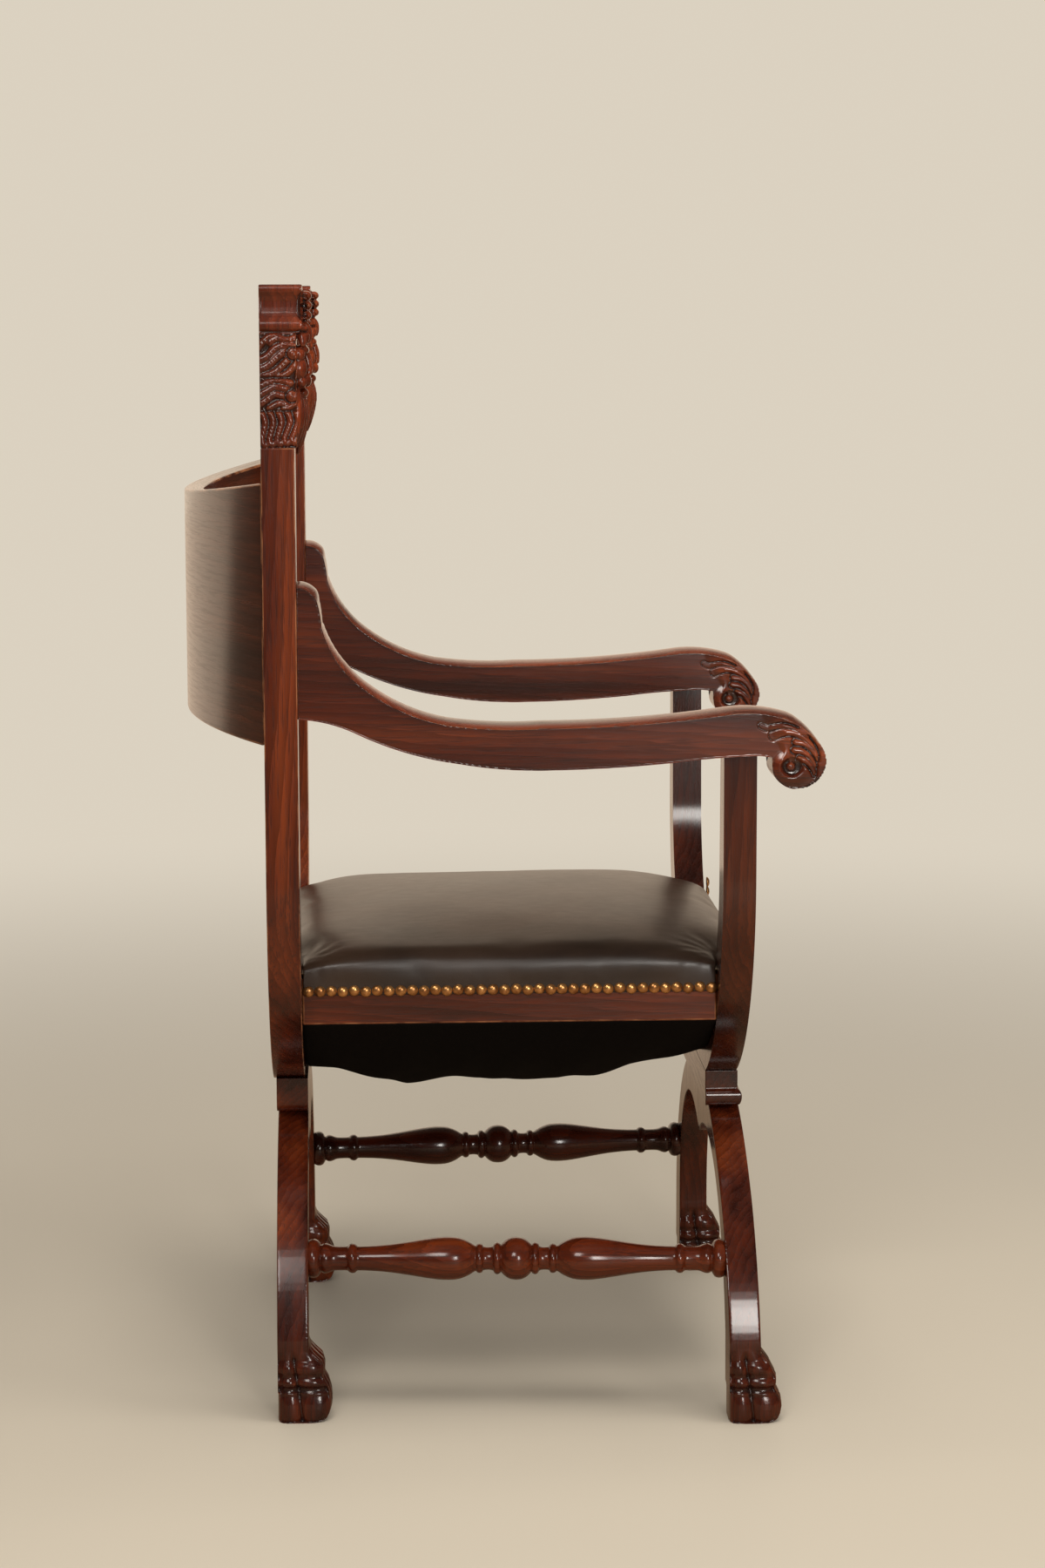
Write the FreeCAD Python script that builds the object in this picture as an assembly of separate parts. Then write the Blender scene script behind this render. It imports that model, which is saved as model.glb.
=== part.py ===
import FreeCAD, Part
import math
import os

os.makedirs("parts", exist_ok=True)

# An oak armchair whose front and back frames are each a U of two curved uprights
# standing on a round-ended hub and a pair of curved legs with paw feet.
# Millimetres. +Z is up from the floor, the sitter faces -Y, and +X is the sitter's left.

# Overall sizes
overall_height = 1118.0
overall_width = 622.0
overall_depth = 627.0

# Upright planks and the U that they form
upright_thickness = 32.0
back_post_width = 50.0
front_set_in = 15.0
front_post_width = 39.0
front_post_top_width = 31.0
u_foot_height = 318.0
u_curve_rise = 229.0
u_curve_past_foot = 23.0
u_waist = 62.0
panel_bulge = 87.0
scroll_overhang = 66.0

# Hub between the U and the legs
hub_height = 35.0
hub_overhang = 8.0
hub_proud = 2.0

# Legs
leg_thickness = 34.0
leg_set_forward = 6.0
leg_width = 48.0
leg_arch_past_hub = 17.0
leg_arch_level = 40.0
front_foot_set_in = 11.0
back_foot_set_in = 36.0
lobe_below_hub = 36.0
lobe_level = 60.0
lobe_centre_share = 0.267

# Paw feet
paw_height = 75.0
paw_width = 52.0
paw_toe_count = 4
paw_toe_reach = 24.0
paw_round = 5.0

# Stretchers, turned between the back and front legs
stretcher_height = 155.0
stretcher_tenon_radius = 11.0
stretcher_tenon_length = 20.0
stretcher_ball_radius = 21.5

# Arms
arm_width = 55.0
post_above_arm = 128.0
arm_rise = 181.0
arm_scroll_radius = 27.5
arm_scroll_rise = 7.0
arm_seat_share = 0.064

# Seat frame and upholstery
seat_set_in = 17.0
rail_thickness = 24.0
rail_above_foot = 77.0
rail_height = 47.0
leather_thickness = 2.0
leather_skirt = 18.0
cushion_side_rise = 20.0
cushion_crown = 29.0
strap_width = 50.0
strap_thickness = 2.0
strap_count = 4
hessian_thickness = 1.0
corner_block_leg = 50.0
dust_cover_sag = 103.0
dust_cover_thickness = 2.0
soft_gap = 0.3

# Back panel
panel_set_in = 11.0
panel_thickness = 20.0
panel_below_head = 33.0
panel_bottom_arch = 8.0
panel_end_height = 252.0
panel_top_dip = 19.0

# Crest rail and carved post heads
head_height = 153.0
head_reach = 9.0
crest_thickness = 26.0
crest_drop = 74.0
crest_lower_arch = 24.0
crest_upper_arch = 10.0
crest_set_down = 6.0

# Joinery
peg_side = 10.0
peg_half_length = 15.0
peg_clearance = 0.2
tenon_clearance = 0.2
overrun = 20.0

# Places worked out from the sizes above
back_frame_rear = overall_depth / 2 - panel_bulge
back_frame_front = back_frame_rear - upright_thickness
front_frame_front = -overall_depth / 2 + scroll_overhang
front_frame_rear = front_frame_front + upright_thickness
back_half_width = overall_width / 2
front_half_width = back_half_width - front_set_in
front_foot_half_span = back_half_width - front_foot_set_in
back_foot_half_span = back_half_width - back_foot_set_in
seat_half_width = front_half_width - front_post_width - seat_set_in
panel_half_width = back_half_width - panel_set_in
u_spring_height = u_foot_height + u_curve_rise
u_drop = u_curve_rise + u_curve_past_foot
head_foot_height = overall_height - head_height
arm_low_height = head_foot_height - post_above_arm - arm_rise
arm_scroll_height = arm_low_height + arm_scroll_rise
panel_bottom_height = head_foot_height - panel_below_head - panel_end_height
hub_bottom_height = u_foot_height - hub_height
leg_arch_height = hub_bottom_height + leg_arch_past_hub
lobe_height = hub_bottom_height - lobe_below_hub
rail_bottom_height = u_foot_height + rail_above_foot
rail_top_height = rail_bottom_height + rail_height
cushion_edge_height = rail_top_height + cushion_side_rise

X_AXIS = FreeCAD.Vector(1, 0, 0)
Y_AXIS = FreeCAD.Vector(0, 1, 0)
Z_AXIS = FreeCAD.Vector(0, 0, 1)
ORIGIN = FreeCAD.Vector(0, 0, 0)


def at(x, y, z):
    return FreeCAD.Vector(x, y, z)


def block(x_from, x_to, y_from, y_to, z_from, z_to):
    corner = at(x_from, y_from, z_from)
    return Part.makeBox(x_to - x_from, y_to - y_from, z_to - z_from, corner)


def mirrored(shape):
    return shape.mirror(ORIGIN, X_AXIS)


def save(shape, name):
    shape.exportStep("parts/" + name + ".step")


def plank(outline_xz, y_from, thickness):
    """Extrude a closed outline of (x, z) corners towards +Y."""
    corners = [at(x, y_from, z) for x, z in outline_xz]
    face = Part.Face(Part.makePolygon(corners + corners[:1]))
    return face.extrude(Y_AXIS * thickness)


def ellipse_plank(centre_x, centre_z, half_x, half_z, y_from, thickness):
    centre = at(centre_x, y_from, centre_z)
    on_x = centre + X_AXIS * half_x
    on_z = centre + Z_AXIS * half_z
    if half_x >= half_z:
        curve = Part.Ellipse(on_x, on_z, centre)
    else:
        curve = Part.Ellipse(on_z, on_x, centre)
    face = Part.Face(Part.Wire([curve.toShape()]))
    return face.extrude(Y_AXIS * thickness)


def ellipse_x(half_x, half_z, rise):
    """How far out an ellipse reaches at a height above or below its centre."""
    return half_x * math.sqrt(1 - (rise / half_z) ** 2)


def peg(centre, axis, margin):
    """A square peg that runs along one of the three axes, grown by a margin to make its socket."""
    half_side = peg_side / 2 + margin
    half = at(half_side, half_side, half_side) + axis * (peg_half_length - peg_side / 2)
    return Part.makeBox(2 * half.x, 2 * half.y, 2 * half.z, centre - half)


# Pegs: each joint's centre and direction, on the sitter's left. The right side mirrors them.

def on_both_sides(joints):
    return joints + [(at(-centre.x, centre.y, centre.z), axis) for centre, axis in joints]


def pegs_of(joints):
    return Part.makeCompound([peg(centre, axis, 0) for centre, axis in on_both_sides(joints)])


def socketed(shape, joints):
    for centre, axis in joints:
        shape = shape.cut(peg(centre, axis, peg_clearance))
    return shape


upright_mid_back = (back_frame_rear + back_frame_front) / 2
upright_mid_front = (front_frame_rear + front_frame_front) / 2
hub_peg_x = ellipse_x(back_half_width, u_drop, u_curve_rise) / 2

# Heights of paired pegs, as shares of the arm's rise and of the crest rail's drop.
arm_peg_shares = (0.42, 0.72)
crest_peg_shares = (0.4, 0.75)

arm_joints = [
    (at(back_half_width - back_post_width / 2, back_frame_front, arm_low_height + arm_rise * share), Y_AXIS)
    for share in arm_peg_shares
]
arm_post_x = front_half_width - front_post_top_width / 2
arm_post_joints = [(at(arm_post_x, upright_mid_front, arm_low_height + arm_rise * arm_seat_share), Z_AXIS)]
head_joints = [
    (at(back_half_width - back_post_width / 2, upright_mid_back, head_foot_height), Z_AXIS)
]
crest_joints = [
    (at(back_half_width - back_post_width, upright_mid_back, overall_height - crest_drop * share), X_AXIS)
    for share in crest_peg_shares
]
back_hub_joints = [(at(hub_peg_x, upright_mid_back, u_foot_height), Z_AXIS)]
front_hub_joints = [(at(hub_peg_x, upright_mid_front, u_foot_height), Z_AXIS)]
back_leg_joints = [(at(hub_peg_x, upright_mid_back, hub_bottom_height), Z_AXIS)]
front_leg_joints = [(at(hub_peg_x, upright_mid_front, hub_bottom_height), Z_AXIS)]


# Uprights: a straight post that turns into half of the U

def upright(half_width, spring_width, top_width, top_height, y_from):
    inner_half = half_width - spring_width
    inner_drop = u_drop - u_waist
    bow = ellipse_plank(0, u_spring_height, half_width, u_drop, y_from, upright_thickness)
    hollow = ellipse_plank(
        0, u_spring_height, inner_half, inner_drop, y_from - overrun, upright_thickness + 2 * overrun)
    keep = block(0, half_width + overrun, y_from, y_from + upright_thickness, u_foot_height, u_spring_height)
    bow = bow.cut(hollow).common(keep)
    post = plank(
        [
            (half_width, u_spring_height),
            (half_width, top_height),
            (half_width - top_width, top_height),
            (inner_half, u_spring_height),
        ],
        y_from, upright_thickness)
    return bow.fuse(post).removeSplitter()


# Arms: a plank sawn to an S, with a scroll rolled under at the front

# Along the arm from the back post, as shares of its length, and up, as shares of its rise.
# Every second point is the middle of an arc.
arm_top_shares = (
    (0.0, 0.982), (0.022, 0.968), (0.040, 0.90), (0.0445, 0.84), (0.0474, 0.771),
    (0.078, 0.587), (0.1305, 0.438), (0.20, 0.323), (0.28, 0.252), (0.37, 0.228), (0.458, 0.230),
    (0.60, 0.240), (0.80, 0.292), (0.872, 0.300), (0.925, 0.270), (0.960, 0.213))
arm_under_shares = (
    (0.870, 0.069), (0.79, 0.058), (0.7045, 0.034), (0.59, 0.0105), (0.458, 0.0), (0.374, 0.011),
    (0.30, 0.040), (0.20, 0.103), (0.11, 0.203), (0.06, 0.256), (0.0, 0.282))
scroll_start = 45
scroll_middle = -70
scroll_end = -188


def arm_point(along_share, rise_share):
    length = back_frame_front + overall_depth / 2
    return at(
        back_half_width - arm_width,
        back_frame_front - length * along_share,
        arm_low_height + arm_rise * rise_share)


def arc_chain(points):
    """Arcs end to end: each starts where the last one stopped and passes through one point between."""
    starts = range(0, len(points) - 2, 2)
    return [Part.Arc(points[i], points[i + 1], points[i + 2]).toShape() for i in starts]


def line(start, end):
    return Part.LineSegment(start, end).toShape()


def scroll_point(centre, degrees):
    angle = math.radians(degrees)
    return centre + at(0, -math.cos(angle), math.sin(angle)) * arm_scroll_radius


def arm():
    top = [arm_point(*shares) for shares in arm_top_shares]
    under = [arm_point(*shares) for shares in arm_under_shares]
    centre = at(top[0].x, -overall_depth / 2 + arm_scroll_radius, arm_scroll_height)
    nose = scroll_point(centre, scroll_start)
    tuck = scroll_point(centre, scroll_end)
    edges = arc_chain(top + [nose])
    edges.append(Part.Arc(nose, scroll_point(centre, scroll_middle), tuck).toShape())
    edges.append(line(tuck, under[0]))
    edges += arc_chain(under)
    edges.append(line(under[-1], top[0]))
    return Part.Face(Part.Wire(edges)).extrude(X_AXIS * arm_width)


# Back panel: a board bent to an arc and planted on the rear of the back posts

def back_panel():
    half_chord = panel_half_width
    outer_radius = (half_chord ** 2 + panel_bulge ** 2) / (2 * panel_bulge)
    centre_y = overall_depth / 2 - outer_radius
    base = at(0, centre_y, 0)
    ring = Part.makeCylinder(outer_radius, overall_height, base)
    ring = ring.cut(Part.makeCylinder(outer_radius - panel_thickness, overall_height, base))
    top = panel_bottom_height + panel_end_height
    foot = [
        at(-half_chord, back_frame_rear, panel_bottom_height),
        at(0, back_frame_rear, panel_bottom_height + panel_bottom_arch),
        at(half_chord, back_frame_rear, panel_bottom_height),
    ]
    brow = [
        at(half_chord, back_frame_rear, top),
        at(0, back_frame_rear, top - panel_top_dip),
        at(-half_chord, back_frame_rear, top),
    ]
    outline = Part.Wire([
        Part.Arc(*foot).toShape(),
        line(foot[2], brow[0]),
        Part.Arc(*brow).toShape(),
        line(brow[2], foot[0]),
    ])
    board = Part.Face(outline).extrude(Y_AXIS * (panel_bulge + overrun))
    return ring.common(board)


# Crest rail between the heads, with a moulded top edge

# Moulding from the top down: how far it stands out and how far down, as shares of the head's
# reach and of the moulded band's height. Two rolls stand proud with a cove between them.
band_share = 0.29
band_shares = (
    (0.75, 0.0), (1.05, 0.10), (0.75, 0.20), (0.05, 0.34), (0.0, 0.52), (0.75, 0.68), (0.5, 0.84))
# The mask below the band: brow, nose, muzzle and beard, as shares of reach and of head height.
mask_shares = (
    (0.2, 0.31), (1.1, 0.36), (1.55, 0.44), (1.2, 0.50), (1.6, 0.56), (1.95, 0.63), (1.5, 0.70),
    (1.1, 0.76), (1.3, 0.84), (0.8, 0.94), (0.0, 1.0))


def head():
    """A post head: a moulded band over a mask, sawn to its profile and set on the post."""
    outer = back_half_width
    front = back_frame_front
    band = head_height * band_share
    band_line = [
        at(outer, front - head_reach * reach, overall_height - band * down)
        for reach, down in band_shares]
    mask_line = [
        at(outer, front - head_reach * reach, overall_height - head_height * down)
        for reach, down in mask_shares]
    rear_top = at(outer, back_frame_rear, overall_height)
    rear_foot = at(outer, back_frame_rear, head_foot_height)
    edges = [line(rear_top, band_line[0])]
    edges += arc_chain(band_line)
    edges.append(line(band_line[-1], mask_line[0]))
    edges += arc_chain(mask_line)
    edges.append(line(mask_line[-1], rear_foot))
    edges.append(line(rear_foot, rear_top))
    solid = Part.Face(Part.Wire(edges)).extrude(X_AXIS * -back_post_width)
    return socketed(solid, head_joints + crest_joints)


def crest_rail():
    inner = back_half_width - back_post_width
    top = overall_height - crest_set_down
    low = overall_height - crest_drop
    y_from = upright_mid_back - crest_thickness / 2
    foot = [at(-inner, y_from, low), at(0, y_from, low + crest_lower_arch), at(inner, y_from, low)]
    brow = [
        at(inner, y_from, top - crest_upper_arch),
        at(0, y_from, top),
        at(-inner, y_from, top - crest_upper_arch),
    ]
    outline = Part.Wire([
        Part.Arc(*foot).toShape(),
        line(foot[2], brow[0]),
        Part.Arc(*brow).toShape(),
        line(brow[2], foot[0]),
    ])
    rail = Part.Face(outline).extrude(Y_AXIS * crest_thickness)
    return socketed(rail, on_both_sides(crest_joints))


# Hubs: a block with half-round ends that the U stands on and the legs carry

def hub(half_width, y_front, y_rear, joints):
    reach = ellipse_x(half_width, u_drop, u_curve_rise) + hub_overhang
    radius = hub_height / 2
    middle = u_foot_height - radius
    straight = reach - radius
    depth = y_rear - y_front
    body = block(-straight, straight, y_front, y_rear, hub_bottom_height, u_foot_height)
    for side in (-1, 1):
        end = Part.makeCylinder(radius, depth, at(side * straight, y_front, middle), Y_AXIS)
        body = body.fuse(end)
    return socketed(body.removeSplitter(), on_both_sides(joints))


# Legs: a quarter arch from the hub to the paw, with a lobed inner edge

def lobe_of(foot_half_span):
    """Centre and half width of the ellipse that shapes the leg's inner edge."""
    centre = foot_half_span * lobe_centre_share
    return centre, foot_half_span - leg_width - centre


def leg_edges(foot_half_span, height):
    """Where the leg's outer and inner edges are at a height."""
    outer = ellipse_x(foot_half_span, leg_arch_height - leg_arch_level, height - leg_arch_level)
    lobe_centre, lobe_half = lobe_of(foot_half_span)
    inner = lobe_centre + ellipse_x(lobe_half, lobe_height - lobe_level, height - lobe_level)
    return outer, inner


def leg(foot_half_span, y_from, joints, stretcher_pin):
    arch_rise = leg_arch_height - leg_arch_level
    lobe_centre, lobe_half = lobe_of(foot_half_span)
    arch = ellipse_plank(0, leg_arch_level, foot_half_span, arch_rise, y_from, leg_thickness)
    lobe = ellipse_plank(
        lobe_centre, lobe_level, lobe_half, lobe_height - lobe_level,
        y_from - overrun, leg_thickness + 2 * overrun)
    keep = block(0, foot_half_span + overrun, y_from, y_from + leg_thickness, paw_height, hub_bottom_height)
    body = arch.cut(lobe).common(keep)
    return socketed(body, joints).cut(stretcher_pin)


# Paws: an ankle block with four toes side by side, each with a knuckle and a tip

# Toe profile from the ankle's front, as shares of the reach and of the paw's height.
toe_shares = ((0.0, 1.0), (0.74, 0.80), (0.60, 0.50), (1.0, 0.27), (0.90, 0.04))
toe_heel_share = 0.35


def toe(x_from, y_front, width):
    """One toe: its side profile, rounded off in front by its outline seen from above."""
    side = [
        at(x_from - overrun, y_front - paw_toe_reach * reach, paw_height * rise)
        for reach, rise in toe_shares]
    heel = y_front + leg_thickness * toe_heel_share
    tip = at(side[0].x, side[-1].y + paw_round / 2, 0)
    heel_low = at(side[0].x, heel, 0)
    heel_high = at(side[0].x, heel, paw_height)
    edges = arc_chain(side)
    edges.append(line(side[-1], tip))
    edges.append(line(tip, heel_low))
    edges.append(line(heel_low, heel_high))
    edges.append(line(heel_high, side[0]))
    profile = Part.Face(Part.Wire(edges)).extrude(X_AXIS * (width + 2 * overrun))
    round_y = y_front - paw_toe_reach + width / 2
    shoulders = (at(x_from, round_y, 0), at(x_from + width, round_y, 0))
    front = at(x_from + width / 2, y_front - paw_toe_reach, 0)
    heels = (at(x_from, heel, 0), at(x_from + width, heel, 0))
    plan = Part.Wire([
        Part.Arc(shoulders[0], front, shoulders[1]).toShape(),
        line(shoulders[1], heels[1]),
        line(heels[1], heels[0]),
        line(heels[0], shoulders[0]),
    ])
    return Part.Face(plan).extrude(Z_AXIS * paw_height).common(profile)


def paw(foot_half_span, y_from):
    outer, inner = leg_edges(foot_half_span, paw_height)
    left = (outer + inner - paw_width) / 2
    ankle = block(left, left + paw_width, y_from, y_from + leg_thickness, 0, paw_height)
    upright_corners = [edge for edge in ankle.Edges if edge.BoundBox.ZLength > paw_width]
    ankle = ankle.makeFillet(paw_round, upright_corners)
    pitch = (paw_width - paw_round) / paw_toe_count
    first = left + (paw_width - pitch * paw_toe_count) / 4
    toes = [toe(first + pitch * place, y_from, pitch + paw_round / 2) for place in range(paw_toe_count)]
    return ankle.multiFuse(toes).removeSplitter()


# Stretchers: turned as two vases either side of a ball, with a collar and tenon at each end

# From the middle to one end: along, as shares of the half length, and radius, as shares of the
# ball's. Ball edge, bead, cove, bead, vase, neck, ring, neck and collar, joined by straight cuts.
ball_edge_share = 0.072
turned_shares = (
    (0.101, 0.75), (0.122, 0.62), (0.140, 0.53), (0.158, 0.58), (0.178, 0.66), (0.196, 0.60),
    (0.255, 0.92), (0.33, 1.0), (0.44, 0.92), (0.58, 0.72), (0.757, 0.56), (0.777, 0.69),
    (0.797, 0.56), (0.885, 0.60), (0.905, 0.82), (0.965, 0.86))


def stretcher_line():
    """The two ends of the stretcher's axis, on the inner faces of the legs."""
    ends = []
    for foot_half_span, y_face in (
            (back_foot_half_span, back_frame_front - leg_set_forward),
            (front_foot_half_span, front_frame_front - leg_set_forward + leg_thickness)):
        outer, inner = leg_edges(foot_half_span, stretcher_height)
        ends.append(at((outer + inner) / 2, y_face, stretcher_height))
    return ends


def stretcher_pin(clearance):
    rear, front = stretcher_line()
    along = (rear - front).normalize()
    length = (rear - front).Length + 2 * (stretcher_tenon_length + clearance)
    start = front - along * (stretcher_tenon_length + clearance)
    return Part.makeCylinder(stretcher_tenon_radius + clearance, length, start, along)


def ball_point(along):
    return at(along, math.sqrt(stretcher_ball_radius ** 2 - along ** 2), 0)


def stretcher():
    rear, front = stretcher_line()
    along = rear - front
    half = along.Length / 2
    crest = ball_point(0)
    ball_edge = ball_point(half * ball_edge_share)
    cuts = [at(half * share, stretcher_ball_radius * size, 0) for share, size in turned_shares]
    tenon = half + stretcher_tenon_length
    corners = [ball_edge] + cuts + [
        at(half, cuts[-1].y, 0),
        at(half, stretcher_tenon_radius, 0),
        at(tenon, stretcher_tenon_radius, 0),
        at(tenon, 0, 0),
        ORIGIN,
        crest,
    ]
    edges = [Part.Arc(crest, ball_point(half * ball_edge_share / 2), ball_edge).toShape()]
    edges += [line(start, end) for start, end in zip(corners, corners[1:])]
    outline = Part.Face(Part.Wire(edges))
    turned = outline.revolve(ORIGIN, X_AXIS, 360)
    whole = turned.fuse(mirrored(turned)).removeSplitter()
    whole.Placement = FreeCAD.Placement((rear + front) / 2, FreeCAD.Rotation(X_AXIS, along))
    # A little is planed off each end so that the shoulders seat on the legs' flat faces.
    between = block(-overall_width, overall_width, front.y, rear.y, 0, overall_height)
    return whole.common(between.fuse(stretcher_pin(0)))


# Seat frame

def side_rail():
    return block(
        seat_half_width - rail_thickness - leather_thickness, seat_half_width - leather_thickness,
        front_frame_rear, back_frame_front, rail_bottom_height, rail_top_height)


def end_rail(y_from, y_to, uprights):
    rail = block(-seat_half_width, seat_half_width, y_from, y_to, rail_bottom_height, rail_top_height)
    cut = rail.cut(uprights[0]).cut(uprights[1])
    return max(cut.Solids, key=lambda solid: solid.Volume)


def corner_blocks():
    inner = seat_half_width - rail_thickness - leather_thickness
    blocks = []
    for y, inward in ((front_frame_rear, 1), (back_frame_front, -1)):
        corner = at(inner, y, rail_bottom_height)
        side = corner + Y_AXIS * inward * corner_block_leg
        end = corner - X_AXIS * corner_block_leg
        face = Part.Face(Part.makePolygon([corner, side, end, corner]))
        piece = face.extrude(Z_AXIS * (rail_height - rail_thickness / 2))
        blocks += [piece, mirrored(piece)]
    return Part.makeCompound(blocks)


def webbing():
    span_x = seat_half_width - leather_thickness - strap_thickness
    y_low = front_frame_front + rail_thickness / 2
    y_high = back_frame_rear - rail_thickness / 2
    bay_y = (back_frame_front - front_frame_rear) / (strap_count + 1)
    bay_x = 2 * (seat_half_width - leg_width - rail_thickness) / (strap_count + 1)
    straps = []
    for place in range(strap_count):
        step = place - (strap_count - 1) / 2
        x = bay_x * step
        straps.append(block(
            x - strap_width / 2, x + strap_width / 2, y_low, y_high,
            rail_top_height, rail_top_height + strap_thickness))
    for place in range(strap_count):
        y = front_frame_rear + bay_y * (place + 1)
        straps.append(block(
            -span_x, span_x, y - strap_width / 2, y + strap_width / 2,
            rail_top_height + strap_thickness, rail_top_height + 2 * strap_thickness))
    return Part.makeCompound(straps)


# Upholstery: everything takes its outline from the seat's plan

def seat_plan(margin, z_from, z_to, uprights):
    """The space inside the frame that the seat fills, grown or shrunk by a margin."""
    side = seat_half_width - leather_thickness + margin
    main = block(
        -side, side, front_frame_rear + soft_gap, back_frame_front - soft_gap, z_from, z_to)
    tongue_half = tongue_reach(uprights) - soft_gap - leather_thickness + margin
    tongue = block(
        -tongue_half, tongue_half, front_frame_front - margin, back_frame_rear - rail_thickness / 3 + margin,
        z_from, z_to)
    return main.fuse(tongue).removeSplitter()


def tongue_reach(uprights):
    """Half the clear width between the uprights at the rail's top."""
    inner_half = front_half_width - front_post_width
    return ellipse_x(inner_half, u_drop - u_waist, u_spring_height - rail_top_height + leather_skirt)


def crown(z_edge, rise):
    """A dome that is level at the middle of the seat and falls to its four edges."""
    half = seat_half_width + overrun
    y_front = front_frame_front - overrun
    y_rear = back_frame_rear + overrun
    middle = (y_front + y_rear) / 2
    top = z_edge + rise
    floor = z_edge - 2 * leather_skirt - rail_height
    across = Part.Wire([
        Part.Arc(at(-half, y_front, z_edge), at(0, y_front, top), at(half, y_front, z_edge)).toShape(),
        line(at(half, y_front, z_edge), at(half, y_front, floor)),
        line(at(half, y_front, floor), at(-half, y_front, floor)),
        line(at(-half, y_front, floor), at(-half, y_front, z_edge)),
    ])
    along = Part.Wire([
        Part.Arc(at(-half, y_front, z_edge), at(-half, middle, top), at(-half, y_rear, z_edge)).toShape(),
        line(at(-half, y_rear, z_edge), at(-half, y_rear, floor)),
        line(at(-half, y_rear, floor), at(-half, y_front, floor)),
        line(at(-half, y_front, floor), at(-half, y_front, z_edge)),
    ])
    return Part.Face(across).extrude(Y_AXIS * (y_rear - y_front)).common(
        Part.Face(along).extrude(X_AXIS * 2 * half))


def cushion(margin, z_from, uprights):
    height = cushion_edge_height + cushion_crown + 2 * leather_thickness
    plan = seat_plan(margin, z_from, height, uprights)
    return plan.common(crown(cushion_edge_height + margin, cushion_crown))


def leather_cover(uprights):
    outside = cushion(leather_thickness, rail_top_height - leather_skirt, uprights)
    inside = cushion(soft_gap, rail_top_height - 2 * leather_skirt, uprights)
    return outside.cut(inside)


def dust_cover():
    """Black cloth tacked under the side rails, hanging in a trough between the two hubs."""
    y_from = front_frame_rear + soft_gap
    length = back_frame_front - hub_overhang - front_frame_rear - 2 * soft_gap
    top = rail_bottom_height - soft_gap
    half = seat_half_width - leather_thickness
    trough = ellipse_plank(0, top, half, dust_cover_sag, y_from, length)
    hollow = ellipse_plank(
        0, top, half - dust_cover_thickness, dust_cover_sag - dust_cover_thickness,
        y_from - overrun, length + 2 * overrun)
    keep = block(-half, half, y_from, y_from + length, top - dust_cover_sag, top)
    return trough.cut(hollow).common(keep)


# Build every piece

def build_chair():
    left_arm = socketed(arm(), arm_joints + arm_post_joints)
    rough_front = upright(
        front_half_width, front_post_width, front_post_top_width,
        arm_low_height + arm_rise / 2, front_frame_front)
    rough_front = max(rough_front.cut(arm()).Solids, key=lambda solid: -solid.BoundBox.ZMin)
    front_upright = socketed(rough_front, arm_post_joints + front_hub_joints)
    rough_back = upright(
        back_half_width, back_post_width, back_post_width, head_foot_height, back_frame_front)
    back_upright = socketed(rough_back, arm_joints + head_joints + back_hub_joints)
    left_stretcher = stretcher()
    mortise = stretcher_pin(tenon_clearance)
    back_leg_from = back_frame_front - leg_set_forward
    front_leg_from = front_frame_front - leg_set_forward

    pairs = {
        "back_upright": back_upright,
        "front_upright": front_upright,
        "arm": left_arm,
        "post_head": head(),
        "back_leg": leg(back_foot_half_span, back_leg_from, back_leg_joints, mortise),
        "front_leg": leg(front_foot_half_span, front_leg_from, front_leg_joints, mortise),
        "back_paw": paw(back_foot_half_span, back_leg_from),
        "front_paw": paw(front_foot_half_span, front_leg_from),
        "stretcher": left_stretcher,
        "seat_side_rail": side_rail(),
    }
    for name, shape in pairs.items():
        save(shape, name + "_left")
        save(mirrored(shape), name + "_right")

    front_pair = (front_upright, mirrored(front_upright))
    back_pair = (back_upright, mirrored(back_upright))
    singles = {
        "crest_rail": crest_rail(),
        "back_panel": back_panel(),
        "front_hub": hub(
            front_half_width, front_leg_from - hub_proud, front_frame_rear,
            front_hub_joints + front_leg_joints),
        "back_hub": hub(
            back_half_width, back_leg_from - hub_proud, back_frame_rear,
            back_hub_joints + back_leg_joints),
        "seat_front_rail": end_rail(front_frame_front + leather_thickness, front_frame_rear, front_pair),
        "seat_rear_rail": end_rail(back_frame_front, back_frame_rear - rail_thickness / 3, back_pair),
        "seat_corner_blocks": corner_blocks(),
        "seat_webbing": webbing(),
        "seat_pad": cushion(
            -soft_gap, rail_top_height + 2 * strap_thickness + hessian_thickness + soft_gap, front_pair),
        "seat_hessian": seat_plan(
            -soft_gap, rail_top_height + 2 * strap_thickness,
            rail_top_height + 2 * strap_thickness + hessian_thickness, front_pair),
        "seat_leather": leather_cover(front_pair),
        "dust_cover": dust_cover(),
        "arm_pegs": pegs_of(arm_joints + arm_post_joints),
        "crest_pegs": pegs_of(head_joints + crest_joints),
        "hub_pegs": pegs_of(back_hub_joints + front_hub_joints),
        "leg_pegs": pegs_of(back_leg_joints + front_leg_joints),
    }
    for name, shape in singles.items():
        save(shape, name)


build_chair()
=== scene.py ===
import math

import bmesh
import bpy
import numpy as np
from mathutils import Matrix, Vector


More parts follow.
